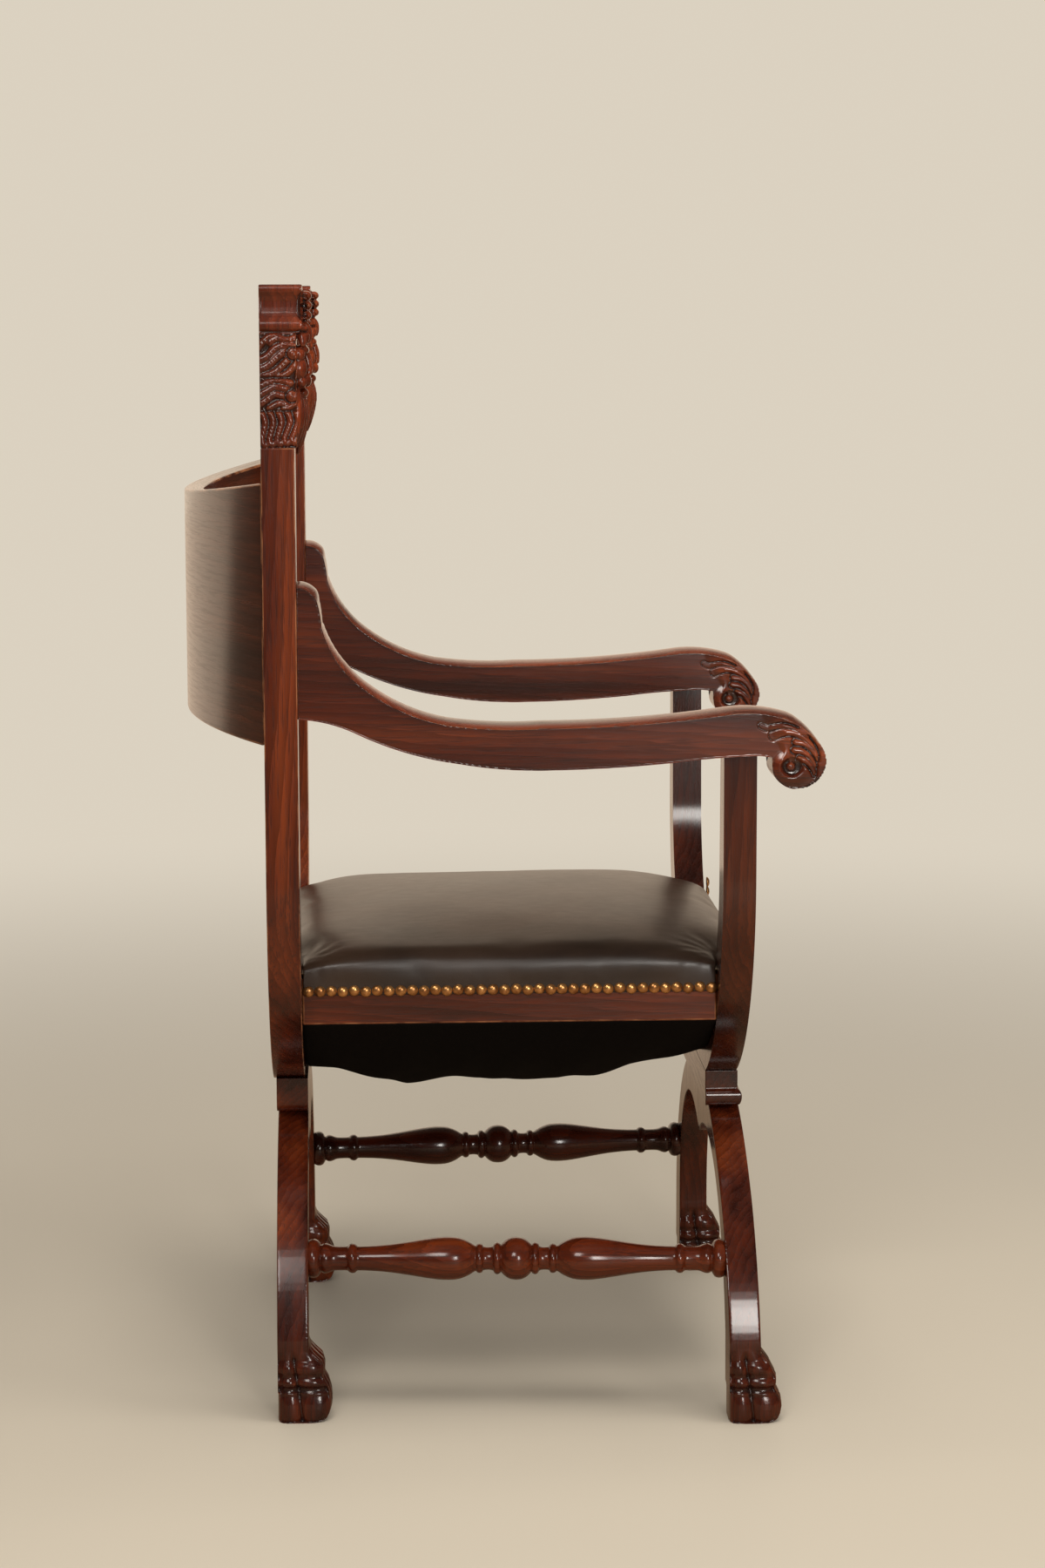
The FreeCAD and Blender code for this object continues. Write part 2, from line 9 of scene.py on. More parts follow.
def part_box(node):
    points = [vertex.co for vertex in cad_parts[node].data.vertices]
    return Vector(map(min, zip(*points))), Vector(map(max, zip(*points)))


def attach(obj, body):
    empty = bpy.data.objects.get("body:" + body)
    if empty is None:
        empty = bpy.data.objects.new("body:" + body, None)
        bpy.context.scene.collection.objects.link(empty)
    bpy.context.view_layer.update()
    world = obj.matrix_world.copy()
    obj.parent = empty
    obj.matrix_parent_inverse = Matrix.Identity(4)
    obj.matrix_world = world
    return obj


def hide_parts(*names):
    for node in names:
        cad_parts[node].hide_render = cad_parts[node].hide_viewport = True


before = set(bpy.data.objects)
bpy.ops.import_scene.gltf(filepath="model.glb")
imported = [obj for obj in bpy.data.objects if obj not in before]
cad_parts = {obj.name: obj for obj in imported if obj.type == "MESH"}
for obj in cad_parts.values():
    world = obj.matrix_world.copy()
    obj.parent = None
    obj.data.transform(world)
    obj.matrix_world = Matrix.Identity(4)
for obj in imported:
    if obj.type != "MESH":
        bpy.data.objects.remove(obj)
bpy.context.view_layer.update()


# Studio: a pale floor that fades into a pale warm background, under a broad lamp overhead, one in
# front of the chair, one by the camera and a low window. The camera stands at the sitter's right.
camera_place = Vector((-3.6139, 0.1311, 1.1086))
camera_pitch = 0.13974
camera_yaw = 0.04572
camera_roll = -0.00256
photo_focal_px = 4000
photo_long_side_px = 1800
sensor_mm = 36
pale_wall = (0.71, 0.64, 0.53, 1)


def add_object(name, data):
    made = bpy.data.objects.new(name, data)
    bpy.context.scene.collection.objects.link(made)
    return made


camera_data = bpy.data.cameras.new("camera")
camera_data.sensor_width = sensor_mm
camera_data.lens = sensor_mm * photo_focal_px / photo_long_side_px
camera = add_object("camera", camera_data)
looking = Vector((
    math.cos(camera_pitch) * math.cos(camera_yaw),
    -math.cos(camera_pitch) * math.sin(camera_yaw),
    -math.sin(camera_pitch)))
aimed = looking.to_track_quat("-Z", "Y").to_matrix().to_4x4()
camera.matrix_world = Matrix.Translation(camera_place) @ aimed @ Matrix.Rotation(camera_roll, 4, "Z")
bpy.context.scene.camera = camera
bpy.context.scene.view_settings.view_transform = "Standard"


def softbox(name, place, target, wide, high, watts):
    lamp = bpy.data.lights.new(name, "AREA")
    lamp.shape = "RECTANGLE"
    lamp.size = wide
    lamp.size_y = high
    lamp.energy = watts
    lamp.color = (1.0, 0.965, 0.91)
    box = add_object(name, lamp)
    box.location = place
    box.rotation_euler = (Vector(target) - Vector(place)).to_track_quat("-Z", "Y").to_euler()
    return box


overhead = softbox("lamp_overhead", (-0.6, -0.2, 3.0), (0, 0, 0.5), 2.0, 2.0, 72)
in_front = softbox("lamp_in_front", (-1.2, -3.0, 1.9), (0, 0, 0.5), 1.6, 1.6, 34)
softbox("lamp_by_camera", (-2.9, 0.8, 2.15), (0, 0, 0.5), 0.9, 0.9, 26)
softbox("low_window", (-3.4, -0.66, 1.10), (0, -0.2, 0.3), 0.46, 0.9, 27)
# The two broad lamps light the room's air and leave no patch in the polish.
overhead.visible_glossy = False
in_front.visible_glossy = False


def set_inputs(made, inputs):
    """Link or set a node's inputs."""
    for name, value in inputs.items():
        if isinstance(value, bpy.types.NodeSocket):
            made.id_data.links.new(value, made.inputs[name])
        else:
            made.inputs[name].default_value = value


def node(tree, kind, inputs=None, **settings):
    """Add a shader node with its settings and inputs."""
    made = tree.nodes.new(kind)
    for name, value in settings.items():
        setattr(made, name, value)
    set_inputs(made, inputs or {})
    return made


def maths(tree, operation, *values):
    return node(tree, "ShaderNodeMath", dict(enumerate(values)), operation=operation).outputs[0]


def mapped(tree, value, low, high, to_low=0.0, to_high=1.0, curve="LINEAR"):
    """A value's range from low to high, turned into the range from to_low to to_high."""
    inputs = {"Value": value, "From Min": low, "From Max": high, "To Min": to_low, "To Max": to_high}
    return node(tree, "ShaderNodeMapRange", inputs, interpolation_type=curve).outputs[0]


def mixed(tree, share, first, second):
    """A colour between two."""
    return node(tree, "ShaderNodeMix", {"Factor": share, 6: first, 7: second}, data_type="RGBA").outputs[2]


def mixed_shader(tree, share, first, second):
    """A shader between two."""
    return node(tree, "ShaderNodeMixShader", {0: share, 1: first.outputs[0], 2: second.outputs[0]})


def new_material(name):
    material = bpy.data.materials.new(name)
    material.use_nodes = True
    return material, material.node_tree, material.node_tree.nodes["Principled BSDF"]


# Polish mirrors the lit wall behind the chair, further round towards the chair's back than towards
# its front, and elsewhere a dimmer room.
world = bpy.data.worlds.new("pale_room")
bpy.context.scene.world = world
world.use_nodes = True
sky = world.node_tree
sky.nodes.clear()
ambient = node(sky, "ShaderNodeBackground", {"Color": (1.0, 0.97, 0.92, 1), "Strength": 0.30})
backdrop = node(sky, "ShaderNodeBackground", {"Color": pale_wall})
toward = node(sky, "ShaderNodeSeparateXYZ", {0: node(sky, "ShaderNodeTexCoord").outputs["Generated"]}).outputs
facing_wall = maths(sky, "MULTIPLY_ADD", toward["Y"], 0.25, toward["X"])
wall_light = mapped(sky, facing_wall, 0.72, 0.92, 0.10, 1.15, "SMOOTHSTEP")
mirrored = node(sky, "ShaderNodeBackground", {"Color": (0.76, 0.61, 0.46, 1), "Strength": wall_light})
ray = node(sky, "ShaderNodeLightPath").outputs
unseen = mixed_shader(sky, ray["Is Glossy Ray"], ambient, mirrored)
room = mixed_shader(sky, ray["Is Camera Ray"], unseen, backdrop)
node(sky, "ShaderNodeOutputWorld", {"Surface": room.outputs[0]})

# The chair is lit and mirrored by a browner floor than the pale one that is seen, and level rays in
# the polish meet the wall before they reach the far floor.
floor_half = 14.0
floor_mesh = bpy.data.meshes.new("floor")
floor_corners = [(x * floor_half, y * floor_half, 0) for x, y in ((-1, -1), (1, -1), (1, 1), (-1, 1))]
floor_mesh.from_pydata(floor_corners, [], [(0, 1, 2, 3)])
floor = add_object("floor", floor_mesh)
floor_paint, tree, paint = new_material("floor_paint")
ray = node(tree, "ShaderNodeLightPath").outputs
place = node(tree, "ShaderNodeTexCoord").outputs["Object"]
floor_tone = mixed(tree, ray["Is Camera Ray"], (0.30, 0.20, 0.12, 1), (0.52, 0.46, 0.37, 1))
set_inputs(paint, {"Base Color": floor_tone, "Roughness": 0.6})
haze_tone = mixed(tree, ray["Is Camera Ray"], (0.74, 0.56, 0.41, 1), pale_wall)
haze = node(tree, "ShaderNodeEmission", {"Color": haze_tone})
from_chair = node(tree, "ShaderNodeVectorMath", {0: place}, operation="LENGTH").outputs["Value"]
fade = mapped(tree, from_chair, 0.5, 3.6, curve="SMOOTHSTEP")
fade_seen = maths(tree, "MULTIPLY", fade, ray["Is Camera Ray"])
spot = node(tree, "ShaderNodeSeparateXYZ", {0: place}).outputs
aside = maths(tree, "MAXIMUM", spot["Y"], maths(tree, "MULTIPLY", spot["Y"], -2.7))
straight_on = mapped(tree, maths(tree, "MULTIPLY_ADD", aside, -0.75, spot["X"]), 0.32, 1.0)
behind = maths(tree, "MULTIPLY", straight_on, mapped(tree, spot["X"], 1.0, 2.2))
haze_share = maths(tree, "MULTIPLY_ADD", behind, ray["Is Glossy Ray"], fade_seen)
hazed = mixed_shader(tree, haze_share, paint, haze)
set_inputs(tree.nodes["Material Output"], {"Surface": hazed.outputs[0]})
floor_mesh.materials.append(floor_paint)


# Uprights: four oak planks sawn to half a U each, two in the front frame and two behind.
# The arrises are rounded by hand and rubbed pale, under a dark red-brown stain and a satin finish.
def noise(tree, place, scale, detail, distortion=0.0):
    inputs = {"Vector": place, "Scale": scale, "Detail": detail, "Distortion": distortion}
    return node(tree, "ShaderNodeTexNoise", inputs).outputs["Fac"]


def toned(tree, value, *steps):
    """A colour for a value, from positions and colours: the first, the last, then any between."""
    made = node(tree, "ShaderNodeValToRGB", {"Fac": value})
    elements = made.color_ramp.elements
    for number, (position, colour) in enumerate(steps):
        element = elements[number] if number < 2 else elements.new(position)
        element.position = position
        element.color = (*colour, 1)
    return made.outputs["Color"]


def shader_group(name, inputs, outputs):
    """A node group with vector or float inputs and float outputs."""
    group = bpy.data.node_groups.new(name, "ShaderNodeTree")
    for label, kind in inputs:
        group.interface.new_socket(label, in_out="INPUT", socket_type=kind)
    for label in outputs:
        group.interface.new_socket(label, in_out="OUTPUT", socket_type="NodeSocketFloat")
    return group, group.nodes.new("NodeGroupInput").outputs, group.nodes.new("NodeGroupOutput")


def oak_grain_group():
    """Growth rings, open pores and broad shading of a board whose grain runs along Z."""
    group, given, out = shader_group(
        "oak_grain", [("Vector", "NodeSocketVector"), ("Seed", "NodeSocketFloat")],
        ["Rings", "Pores", "Shade"])

    def vectors(operation, inputs):
        return node(group, "ShaderNodeVectorMath", inputs, operation=operation).outputs[0]

    seed = vectors("SCALE", {0: (3.1, 1.7, 5.3), "Scale": given["Seed"]})
    place = vectors("ADD", {0: given["Vector"], 1: seed})
    drawn = vectors("MULTIPLY", {0: place, 1: (1, 1, 0.07)})
    streaks = vectors("MULTIPLY", {0: place, 1: (1, 1, 0.035)})
    rings = node(
        group, "ShaderNodeTexWave", {
            "Vector": drawn, "Scale": 62, "Distortion": 7, "Detail": 3, "Detail Scale": 0.6,
            "Detail Roughness": 0.55},
        wave_type="BANDS", bands_direction="DIAGONAL", wave_profile="SAW").outputs["Fac"]
    pitting = maths(group, "MULTIPLY", noise(group, streaks, 420, 3), noise(group, streaks, 1100, 2))
    near_ring = maths(group, "MULTIPLY_ADD", rings, 0.10, pitting)
    pores = mapped(group, near_ring, 0.30, 0.42)
    set_inputs(out, {"Rings": rings, "Pores": pores, "Shade": noise(group, drawn, 26, 4)})
    return group


def wear_and_hollow_shade_group():
    """How far a spot is worn, and how much painted shade it gets: arrises and raised carving rub pale, in
    patches, and hollows and deep cuts are painted darker as shade.
    """
    group, given, out = shader_group("wear_and_hollow_shade", [("Vector", "NodeSocketVector")], ["Wear", "Hollow"])

    def mark(name):
        return node(group, "ShaderNodeAttribute", attribute_name=name).outputs["Fac"]

    point = node(group, "ShaderNodeNewGeometry").outputs["Pointiness"]
    level_or_carved = {"Factor": mark("carved"), "A": 0.5, "B": point}
    shape = node(group, "ShaderNodeMix", level_or_carved, data_type="FLOAT").outputs[0]
    raised = maths(group, "MAXIMUM", mark("arris"), mapped(group, shape, 0.53, 0.61))
    rubbed = mapped(group, noise(group, given["Vector"], 38, 4), 0.40, 0.64)
    # Painted shade: concave spots and the carving's marked deep cuts are darkened.
    hollow = maths(group, "MAXIMUM", mapped(group, shape, 0.49, 0.44), mark("sunk"))
    set_inputs(out, {"Wear": maths(group, "MULTIPLY", raised, rubbed), "Hollow": hollow})
    return group


oak_grain = oak_grain_group()
wear_and_hollow_shade = wear_and_hollow_shade_group()
quarter_turn = math.pi / 2
grain_turns = {
    "x": (0, quarter_turn, 0), "y": (quarter_turn, 0, 0), "z": (0, 0, 0), "bend": (0, quarter_turn, 0)}
# Position in the grain's shading and the stain's colour there.
stain_steps = (
    (0.33, (0.034, 0.0052, 0.0024)), (0.70, (0.225, 0.042, 0.0105)), (0.50, (0.108, 0.0165, 0.0048)))
pore_colour = (0.014, 0.0045, 0.003, 1)
# Colour of the painted shade in hollows and deep cuts.
hollow_shade_colour = (0.02, 0.007, 0.005, 1)
rubbed_colour = (0.30, 0.115, 0.048, 1)


def stained_oak(name, grain_axis, seed, depth=1.0, polish=0.9, mirror=1.5, pitted=0.22):
    """Oak under a red-brown stain. The grain runs along one axis, depth sets how light the stain is, polish
    how much varnish lies on it, mirror how strongly it reflects and pitted how open the pores are. The depth
    differs from part to part to paint in light and shade: lighter on lit parts, darker on shaded ones."""
    material, tree, finish = new_material(name)
    if grain_axis == "bend":
        place = node(tree, "ShaderNodeAttribute", attribute_name="along_bend").outputs["Vector"]
    else:
        place = node(tree, "ShaderNodeTexCoord").outputs["Object"]
    along = node(tree, "ShaderNodeMapping", {"Vector": place, "Rotation": grain_turns[grain_axis]}).outputs[0]
    grain = node(tree, "ShaderNodeGroup", {"Vector": along, "Seed": seed}, node_tree=oak_grain).outputs
    stain = toned(tree, grain["Shade"], *(
        (position, tuple(depth * part for part in colour)) for position, colour in stain_steps))
    ring_dark = mapped(tree, grain["Rings"], 0, 1, 0.62, 1.16)
    ringed = node(tree, "ShaderNodeVectorMath", {0: stain, "Scale": ring_dark}, operation="SCALE").outputs[0]
    pored = mixed(tree, maths(tree, "MULTIPLY", grain["Pores"], 0.55), ringed, pore_colour)
    wear_and_shade = node(tree, "ShaderNodeGroup", {"Vector": place}, node_tree=wear_and_hollow_shade).outputs
    # Hollows are painted darker, as shade.
    hollow_shaded = mixed(tree, wear_and_shade["Hollow"], pored, hollow_shade_colour)
    pits = node(
        tree, "ShaderNodeBump", {"Height": grain["Pores"], "Strength": pitted, "Distance": 0.0005},
        invert=True)
    set_inputs(finish, {
        "Base Color": mixed(tree, wear_and_shade["Wear"], hollow_shaded, rubbed_colour),
        "Roughness": mapped(tree, grain["Pores"], 0, 1, 0.27, 0.5),
        "Specular IOR Level": 0.08, "Coat Weight": polish, "Coat Roughness": 0.16, "Coat IOR": mirror,
        "Normal": pits.outputs[0]})
    return material


def new_piece(name, mesh, material):
    """Put a mesh in the scene as a piece of the chair."""
    mesh.materials.clear()
    mesh.materials.append(material)
    piece = add_object(name, mesh)
    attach(piece, "root")
    return piece


def shade_evenly(piece):
    shading = piece.modifiers.new("even_shading", "WEIGHTED_NORMAL")
    shading.keep_sharp = True


def packed_mesh(node_name):
    """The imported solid's mesh, with its flat faces merged."""
    bm = bmesh.new()
    bm.from_mesh(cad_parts[node_name].data)
    bmesh.ops.remove_doubles(bm, verts=bm.verts, dist=1e-5)
    bmesh.ops.dissolve_limit(bm, angle_limit=math.radians(0.4), verts=bm.verts, edges=bm.edges)
    return bm


def mesh_from(bm, name):
    for face in bm.faces:
        face.smooth = True
    mesh = bpy.data.meshes.new(name)
    bm.to_mesh(mesh)
    bm.free()
    return mesh


def sawn_copy(node_name, arris_radius):
    """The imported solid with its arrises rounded, and marked to show wear."""
    bm = packed_mesh(node_name)
    arris = bm.faces.layers.float.new("arris")
    sharp = [
        edge for edge in bm.edges
        if len(edge.link_faces) == 2 and edge.calc_face_angle(0) > math.radians(32)]
    made = bmesh.ops.bevel(
        bm, geom=sharp, offset=arris_radius, segments=3, profile=0.5, affect="EDGES", clamp_overlap=True)
    for face in made["faces"]:
        face[arris] = 1.0
    bmesh.ops.triangulate(bm, faces=[face for face in bm.faces if len(face.verts) > 4])
    return mesh_from(bm, node_name)


def sawn_piece(node_name, arris_radius, material):
    piece = new_piece(node_name + "_wood", sawn_copy(node_name, arris_radius), material)
    shade_evenly(piece)
    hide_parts(node_name)
    return piece


upright_arris = 0.0022
# The front uprights take a much darker stain than the back ones: painted shade.
for number, side in enumerate(("left", "right")):
    oak = stained_oak("oak_back_upright_" + side, "z", 1.0 + number, depth=0.86)
    sawn_piece("back_upright_" + side, upright_arris, oak)
    oak = stained_oak("oak_front_upright_" + side, "z", 3.0 + number, depth=0.42)
    sawn_piece("front_upright_" + side, upright_arris, oak)


# Crest rail and seat rails: straight boards, tenoned and pegged into the posts and uprights. The
# seat rails carry the webbing and the nailed cover.
for number, (name, grain_axis) in enumerate((
        ("crest_rail", "x"), ("seat_front_rail", "x"), ("seat_rear_rail", "x"),
        ("seat_side_rail_left", "y"), ("seat_side_rail_right", "y"))):
    sawn_piece(name, 0.002, stained_oak("oak_" + name, grain_axis, 10.0 + number))


# Back panel: a thin board bent across the grain's length to an arc and screwed behind the posts.
# The grain follows the bend, and the hollow side leans on the sitter's back.
panel_oak = stained_oak("oak_back_panel", "bend", 20.0, depth=0.42, polish=1.0, mirror=1.9, pitted=0.02)
panel = sawn_piece("back_panel", 0.003, panel_oak)
panel_low, panel_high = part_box("back_panel")
panel_half_chord = (panel_high.x - panel_low.x) / 2
panel_rise = panel_high.y - panel_low.y
panel_radius = (panel_half_chord ** 2 + panel_rise ** 2) / (2 * panel_rise)
bend_centre_y = panel_high.y - panel_radius
bend = panel.data.attributes.new("along_bend", "FLOAT_VECTOR", "POINT")
for vertex, mark in zip(panel.data.vertices, bend.data):
    across, back, height = vertex.co.x, vertex.co.y - bend_centre_y, vertex.co.z
    mark.vector = (panel_radius * math.atan2(across, back), math.hypot(across, back), height)


# Carving: each shaped member is roughed out as overlapping lumps and locks of wood, then blended
# into one skin, as a carver rounds over the sawn blank.
def add_lump(bm, centre, radii, tip):
    """An egg of wood at a centre, tipped about X in degrees."""
    turn = Matrix.Rotation(math.radians(tip), 4, "X")
    shape = Matrix.Translation(centre) @ turn @ Matrix.Diagonal((*radii, 1))
    bmesh.ops.create_icosphere(bm, subdivisions=3, radius=1, matrix=shape)


def smooth_path(points, steps):
    """Points along a smooth curve through the given ones."""
    ends = [2 * points[0] - points[1]] + list(points) + [2 * points[-1] - points[-2]]
    path = []
    for i in range(1, len(ends) - 2):
        before, start, end, after = ends[i - 1:i + 3]
        for step in range(steps):
            t = step / steps
            path.append(0.5 * (
                2 * start + (end - before) * t + (2 * before - 5 * start + 4 * end - after) * t ** 2
                + (3 * start - before - 3 * end + after) * t ** 3))
    path.append(points[-1])
    return path


def add_skin(bm, rings, tip=None):
    """A skin over rings of points, closed flat at both ends or drawn to a tip at the last."""
    rings = [[bm.verts.new(place) for place in ring] for ring in rings]
    sides = len(rings[0])
    for one, two in zip(rings, rings[1:]):
        for k in range(sides):
            bm.faces.new((one[k], one[(k + 1) % sides], two[(k + 1) % sides], two[k]))
    bm.faces.new(list(reversed(rings[0])))
    if tip is None:
        bm.faces.new(rings[-1])
    else:
        top = bm.verts.new(tip)
        for k in range(sides):
            bm.faces.new((rings[-1][k], rings[-1][(k + 1) % sides], top))


def add_lock(bm, points, thick, thin, sides=8, steps=4):
    """A rounded lock of wood along a curve, thick at its middle and thin at both ends."""
    path = smooth_path([Vector(point) for point in points], steps)
    rings = []
    for i, place in enumerate(path):
        along = (path[min(i + 1, len(path) - 1)] - path[max(i - 1, 0)]).normalized()
        aside = along.orthogonal().normalized()
        up = along.cross(aside)
        radius = thin + (thick - thin) * math.sin(math.pi * i / (len(path) - 1)) ** 0.6
        ring = [place + radius * (math.cos(a) * aside + math.sin(a) * up)
                for a in (2 * math.pi * k / sides for k in range(sides))]
        if rings:
            turn = min(range(sides), key=lambda k: (rings[-1][0] - ring[k]).length)
            ring = ring[turn:] + ring[:turn]
        rings.append(ring)
    add_skin(bm, rings)


def add_block(bm, low, high):
    middle = (Vector(low) + Vector(high)) / 2
    size = Vector(high) - Vector(low)
    bmesh.ops.create_cube(bm, size=1, matrix=Matrix.Translation(middle) @ Matrix.Diagonal((*size, 1)))


def blended(bm, name, grit, passes):
    """Blend overlapping lumps into one skin, with grit as the cutter's size in metres."""
    rough = add_object(name, mesh_from(bm, name))
    skin = rough.modifiers.new("skin", "REMESH")
    skin.mode = "VOXEL"
    skin.voxel_size = grit
    skin.use_smooth_shade = True
    sanding = rough.modifiers.new("sanding", "SMOOTH")
    sanding.factor = 0.5
    sanding.iterations = passes
    ready = rough.evaluated_get(bpy.context.evaluated_depsgraph_get())
    mesh = bpy.data.meshes.new_from_object(ready)
    mesh.name = name
    bpy.data.objects.remove(rough)
    mark_points(mesh, "carved", np.ones(len(mesh.vertices)))
    return mesh


def mark_points(mesh, name, values):
    """Note a number from 0 to 1 on each point, which the stain reads."""
    mark = mesh.attributes.new(name, "FLOAT", "POINT")
    mark.data.foreach_set("value", np.clip(values, 0, 1).astype(np.float32))


def points_of(mesh, what="co"):
    values = np.empty(len(mesh.vertices) * 3)
    mesh.vertices.foreach_get(what, values)
    return values.reshape(-1, 3)


def normals_of(mesh):
    return points_of(mesh, "normal")


def move_points(mesh, places):
    mesh.vertices.foreach_set("co", places.ravel())
    mesh.update()


# Hubs: the short crosspieces where the curves meet, between uprights and legs. The front one has
# a bead worked along its face and round its ends, and the back one is plain and flush.
bead_radius = 0.0092
bead_out = 0.0042
bead_tuck = 0.0034
hub_corner = 0.0012
# How far the outline stands out of the hub's flat face, and up from its foot.
bead_outline = [
    (bead_out - (bead_tuck if a < 0 else bead_radius) * (1 - math.cos(a)), bead_radius * (1 + math.sin(a)))
    for a in (math.radians(d) for d in range(-90, 58, 7))]
plain_outline = [(-0.0090, 0), (-0.0055, 0.0012), (-0.0025, 0.0040), (-0.0006, 0.0085), (0, 0.0140)]
hub_top = [(0, 0.0354), (-0.0006, 0.0360)]
# Outline, front face, rear face, how far the bead stands out, and the stain's depth, darker at the front hub
# as painted shade.
hub_kinds = {
    "front_hub": (bead_outline + [(0, 0.0180)] + hub_top, -0.2488, -0.2155, bead_out, 0.5),
    "back_hub": (plain_outline + hub_top, 0.1915, 0.2235, 0.0, 0.7)}
for number, (name, (outline, face_y, rear_y, stands_out, depth)) in enumerate(hub_kinds.items()):
    hub_low, hub_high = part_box(name)
    rings = []
    for out, up in outline:
        half = hub_high.x - stands_out + out
        front = face_y - out if stands_out else face_y
        ring = []
        for corner_x, corner_y, first in (
                (half, rear_y, 0), (-half, rear_y, 90), (-half, front, 180), (half, front, 270)):
            centre_x = corner_x - math.copysign(hub_corner, corner_x)
            centre_y = corner_y + (hub_corner if corner_y == front else -hub_corner)
            ring += [
                (centre_x + hub_corner * math.cos(a), centre_y + hub_corner * math.sin(a), hub_low.z + up)
                for a in (math.radians(first + 30 * step) for step in range(4))]
        rings.append(ring)
    form = bmesh.new()
    add_skin(form, rings)
    bmesh.ops.recalc_face_normals(form, faces=form.faces)
    hub_oak = stained_oak("oak_" + name, "x", 11.0 + number, depth=depth)
    hub_piece = new_piece(name + "_wood", mesh_from(form, name), hub_oak)
    shade_evenly(hub_piece)
    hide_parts(name)


# Legs and paws: each leg is a quarter arch sawn from one board. At its foot it swells into a paw
# carved from the same wood, with two toes on each side and four across the front. Each toe has a
# double knuckle, a deep hollow, a ridge and a rounded tip.
leg_board = 0.0310
front_leg_lean = ((0.0, 0.0036), (0.08, 0.0034), (0.20, 0.0012), (0.29, -0.0012), (0.40, -0.0012))
# Millimetres up from the floor and forward from the paw's rear face.
back_paw_profile = (
    (0, 43.5), (2.5, 49), (8, 52), (14, 53.6), (20.5, 54.2), (29, 53.4), (36, 51.4), (42, 48.0),
    (45.5, 46.4), (49, 47.0), (56, 47.2), (61.5, 45.4), (66, 41.0), (70, 37.0), (75, 33.0), (80, 31.0))
front_paw_profile = (
    (0, 44.5), (2.5, 49), (8, 51.8), (16, 53.4), (24.8, 52.0), (31, 48.9), (35.5, 46.4), (40, 47.6),
    (46.3, 47.6), (53, 44.2), (59, 41.4), (66, 36.2), (72, 32.2), (80, 31.0))
# Millimetres up and depth of the carved side at that height.
toe_profile = (
    (0, 3.6), (2, 2.1), (5, 0.9), (9, 0.25), (14, 0), (19, 0.4), (24, 1.6), (27.5, 2.8), (29.3, 2.3),
    (31, 3.8), (33.5, 4.8), (35.5, 3.8), (37.6, 1.4), (40, 0.2), (42.4, 0.7), (44.4, 1.9), (46.6, 2.8),
    (48.8, 2.2), (51, 0.5), (54, 0), (57, 0.4), (60, 1.5), (63.5, 2.3), (68, 1.6), (74, 0.3), (80, 0))
side_crease = ((0, 24.0), (6, 23.8), (16, 22.6), (32, 20.6), (46, 18.6), (58, 16.6), (72, 15.6))
crease_depth = 3.6
toe_edge_depth = 1.8
toe_roundness = 2.4
toe_pitch = 0.0130
front_toe_depth = 2.8


def read_table(values, table):
    """Look values up in a table of pairs, with straight lines between its rows."""
    return np.interp(values, *zip(*table))


def rising(values, start, span):
    """0 up to the start, then a straight climb to 1 over the span."""
    return np.clip((values - start) / span, 0, 1)


def add_paw_blank(bm, middle_x, half_width, rear_y, profile):
    """A block with rounded corners whose front follows the paw's profile."""
    sides = 48
    corner = 0.42
    rings = []
    for up, forward in profile:
        half_x = half_width - 0.0060 * max(0, up - 60) / 20
        ring = []
        for k in range(sides):
            a = 2 * math.pi * (k + 0.5) / sides
            across = math.copysign(abs(math.cos(a)) ** corner, math.cos(a))
            along = math.copysign(abs(math.sin(a)) ** corner, math.sin(a))
            ring.append((middle_x + half_x * across, rear_y - (1 + along) / 2 * forward / 1000, up / 1000))
        rings.append(ring)
    add_skin(bm, rings)
    bmesh.ops.recalc_face_normals(bm, faces=bm.faces)


def groove(away, half=1.8, deep=1.4):
    """Depth of a V-shaped cut with soft sides, in millimetres."""
    return deep * np.clip(1 - np.abs(away) / half, 0, 1) ** 0.8


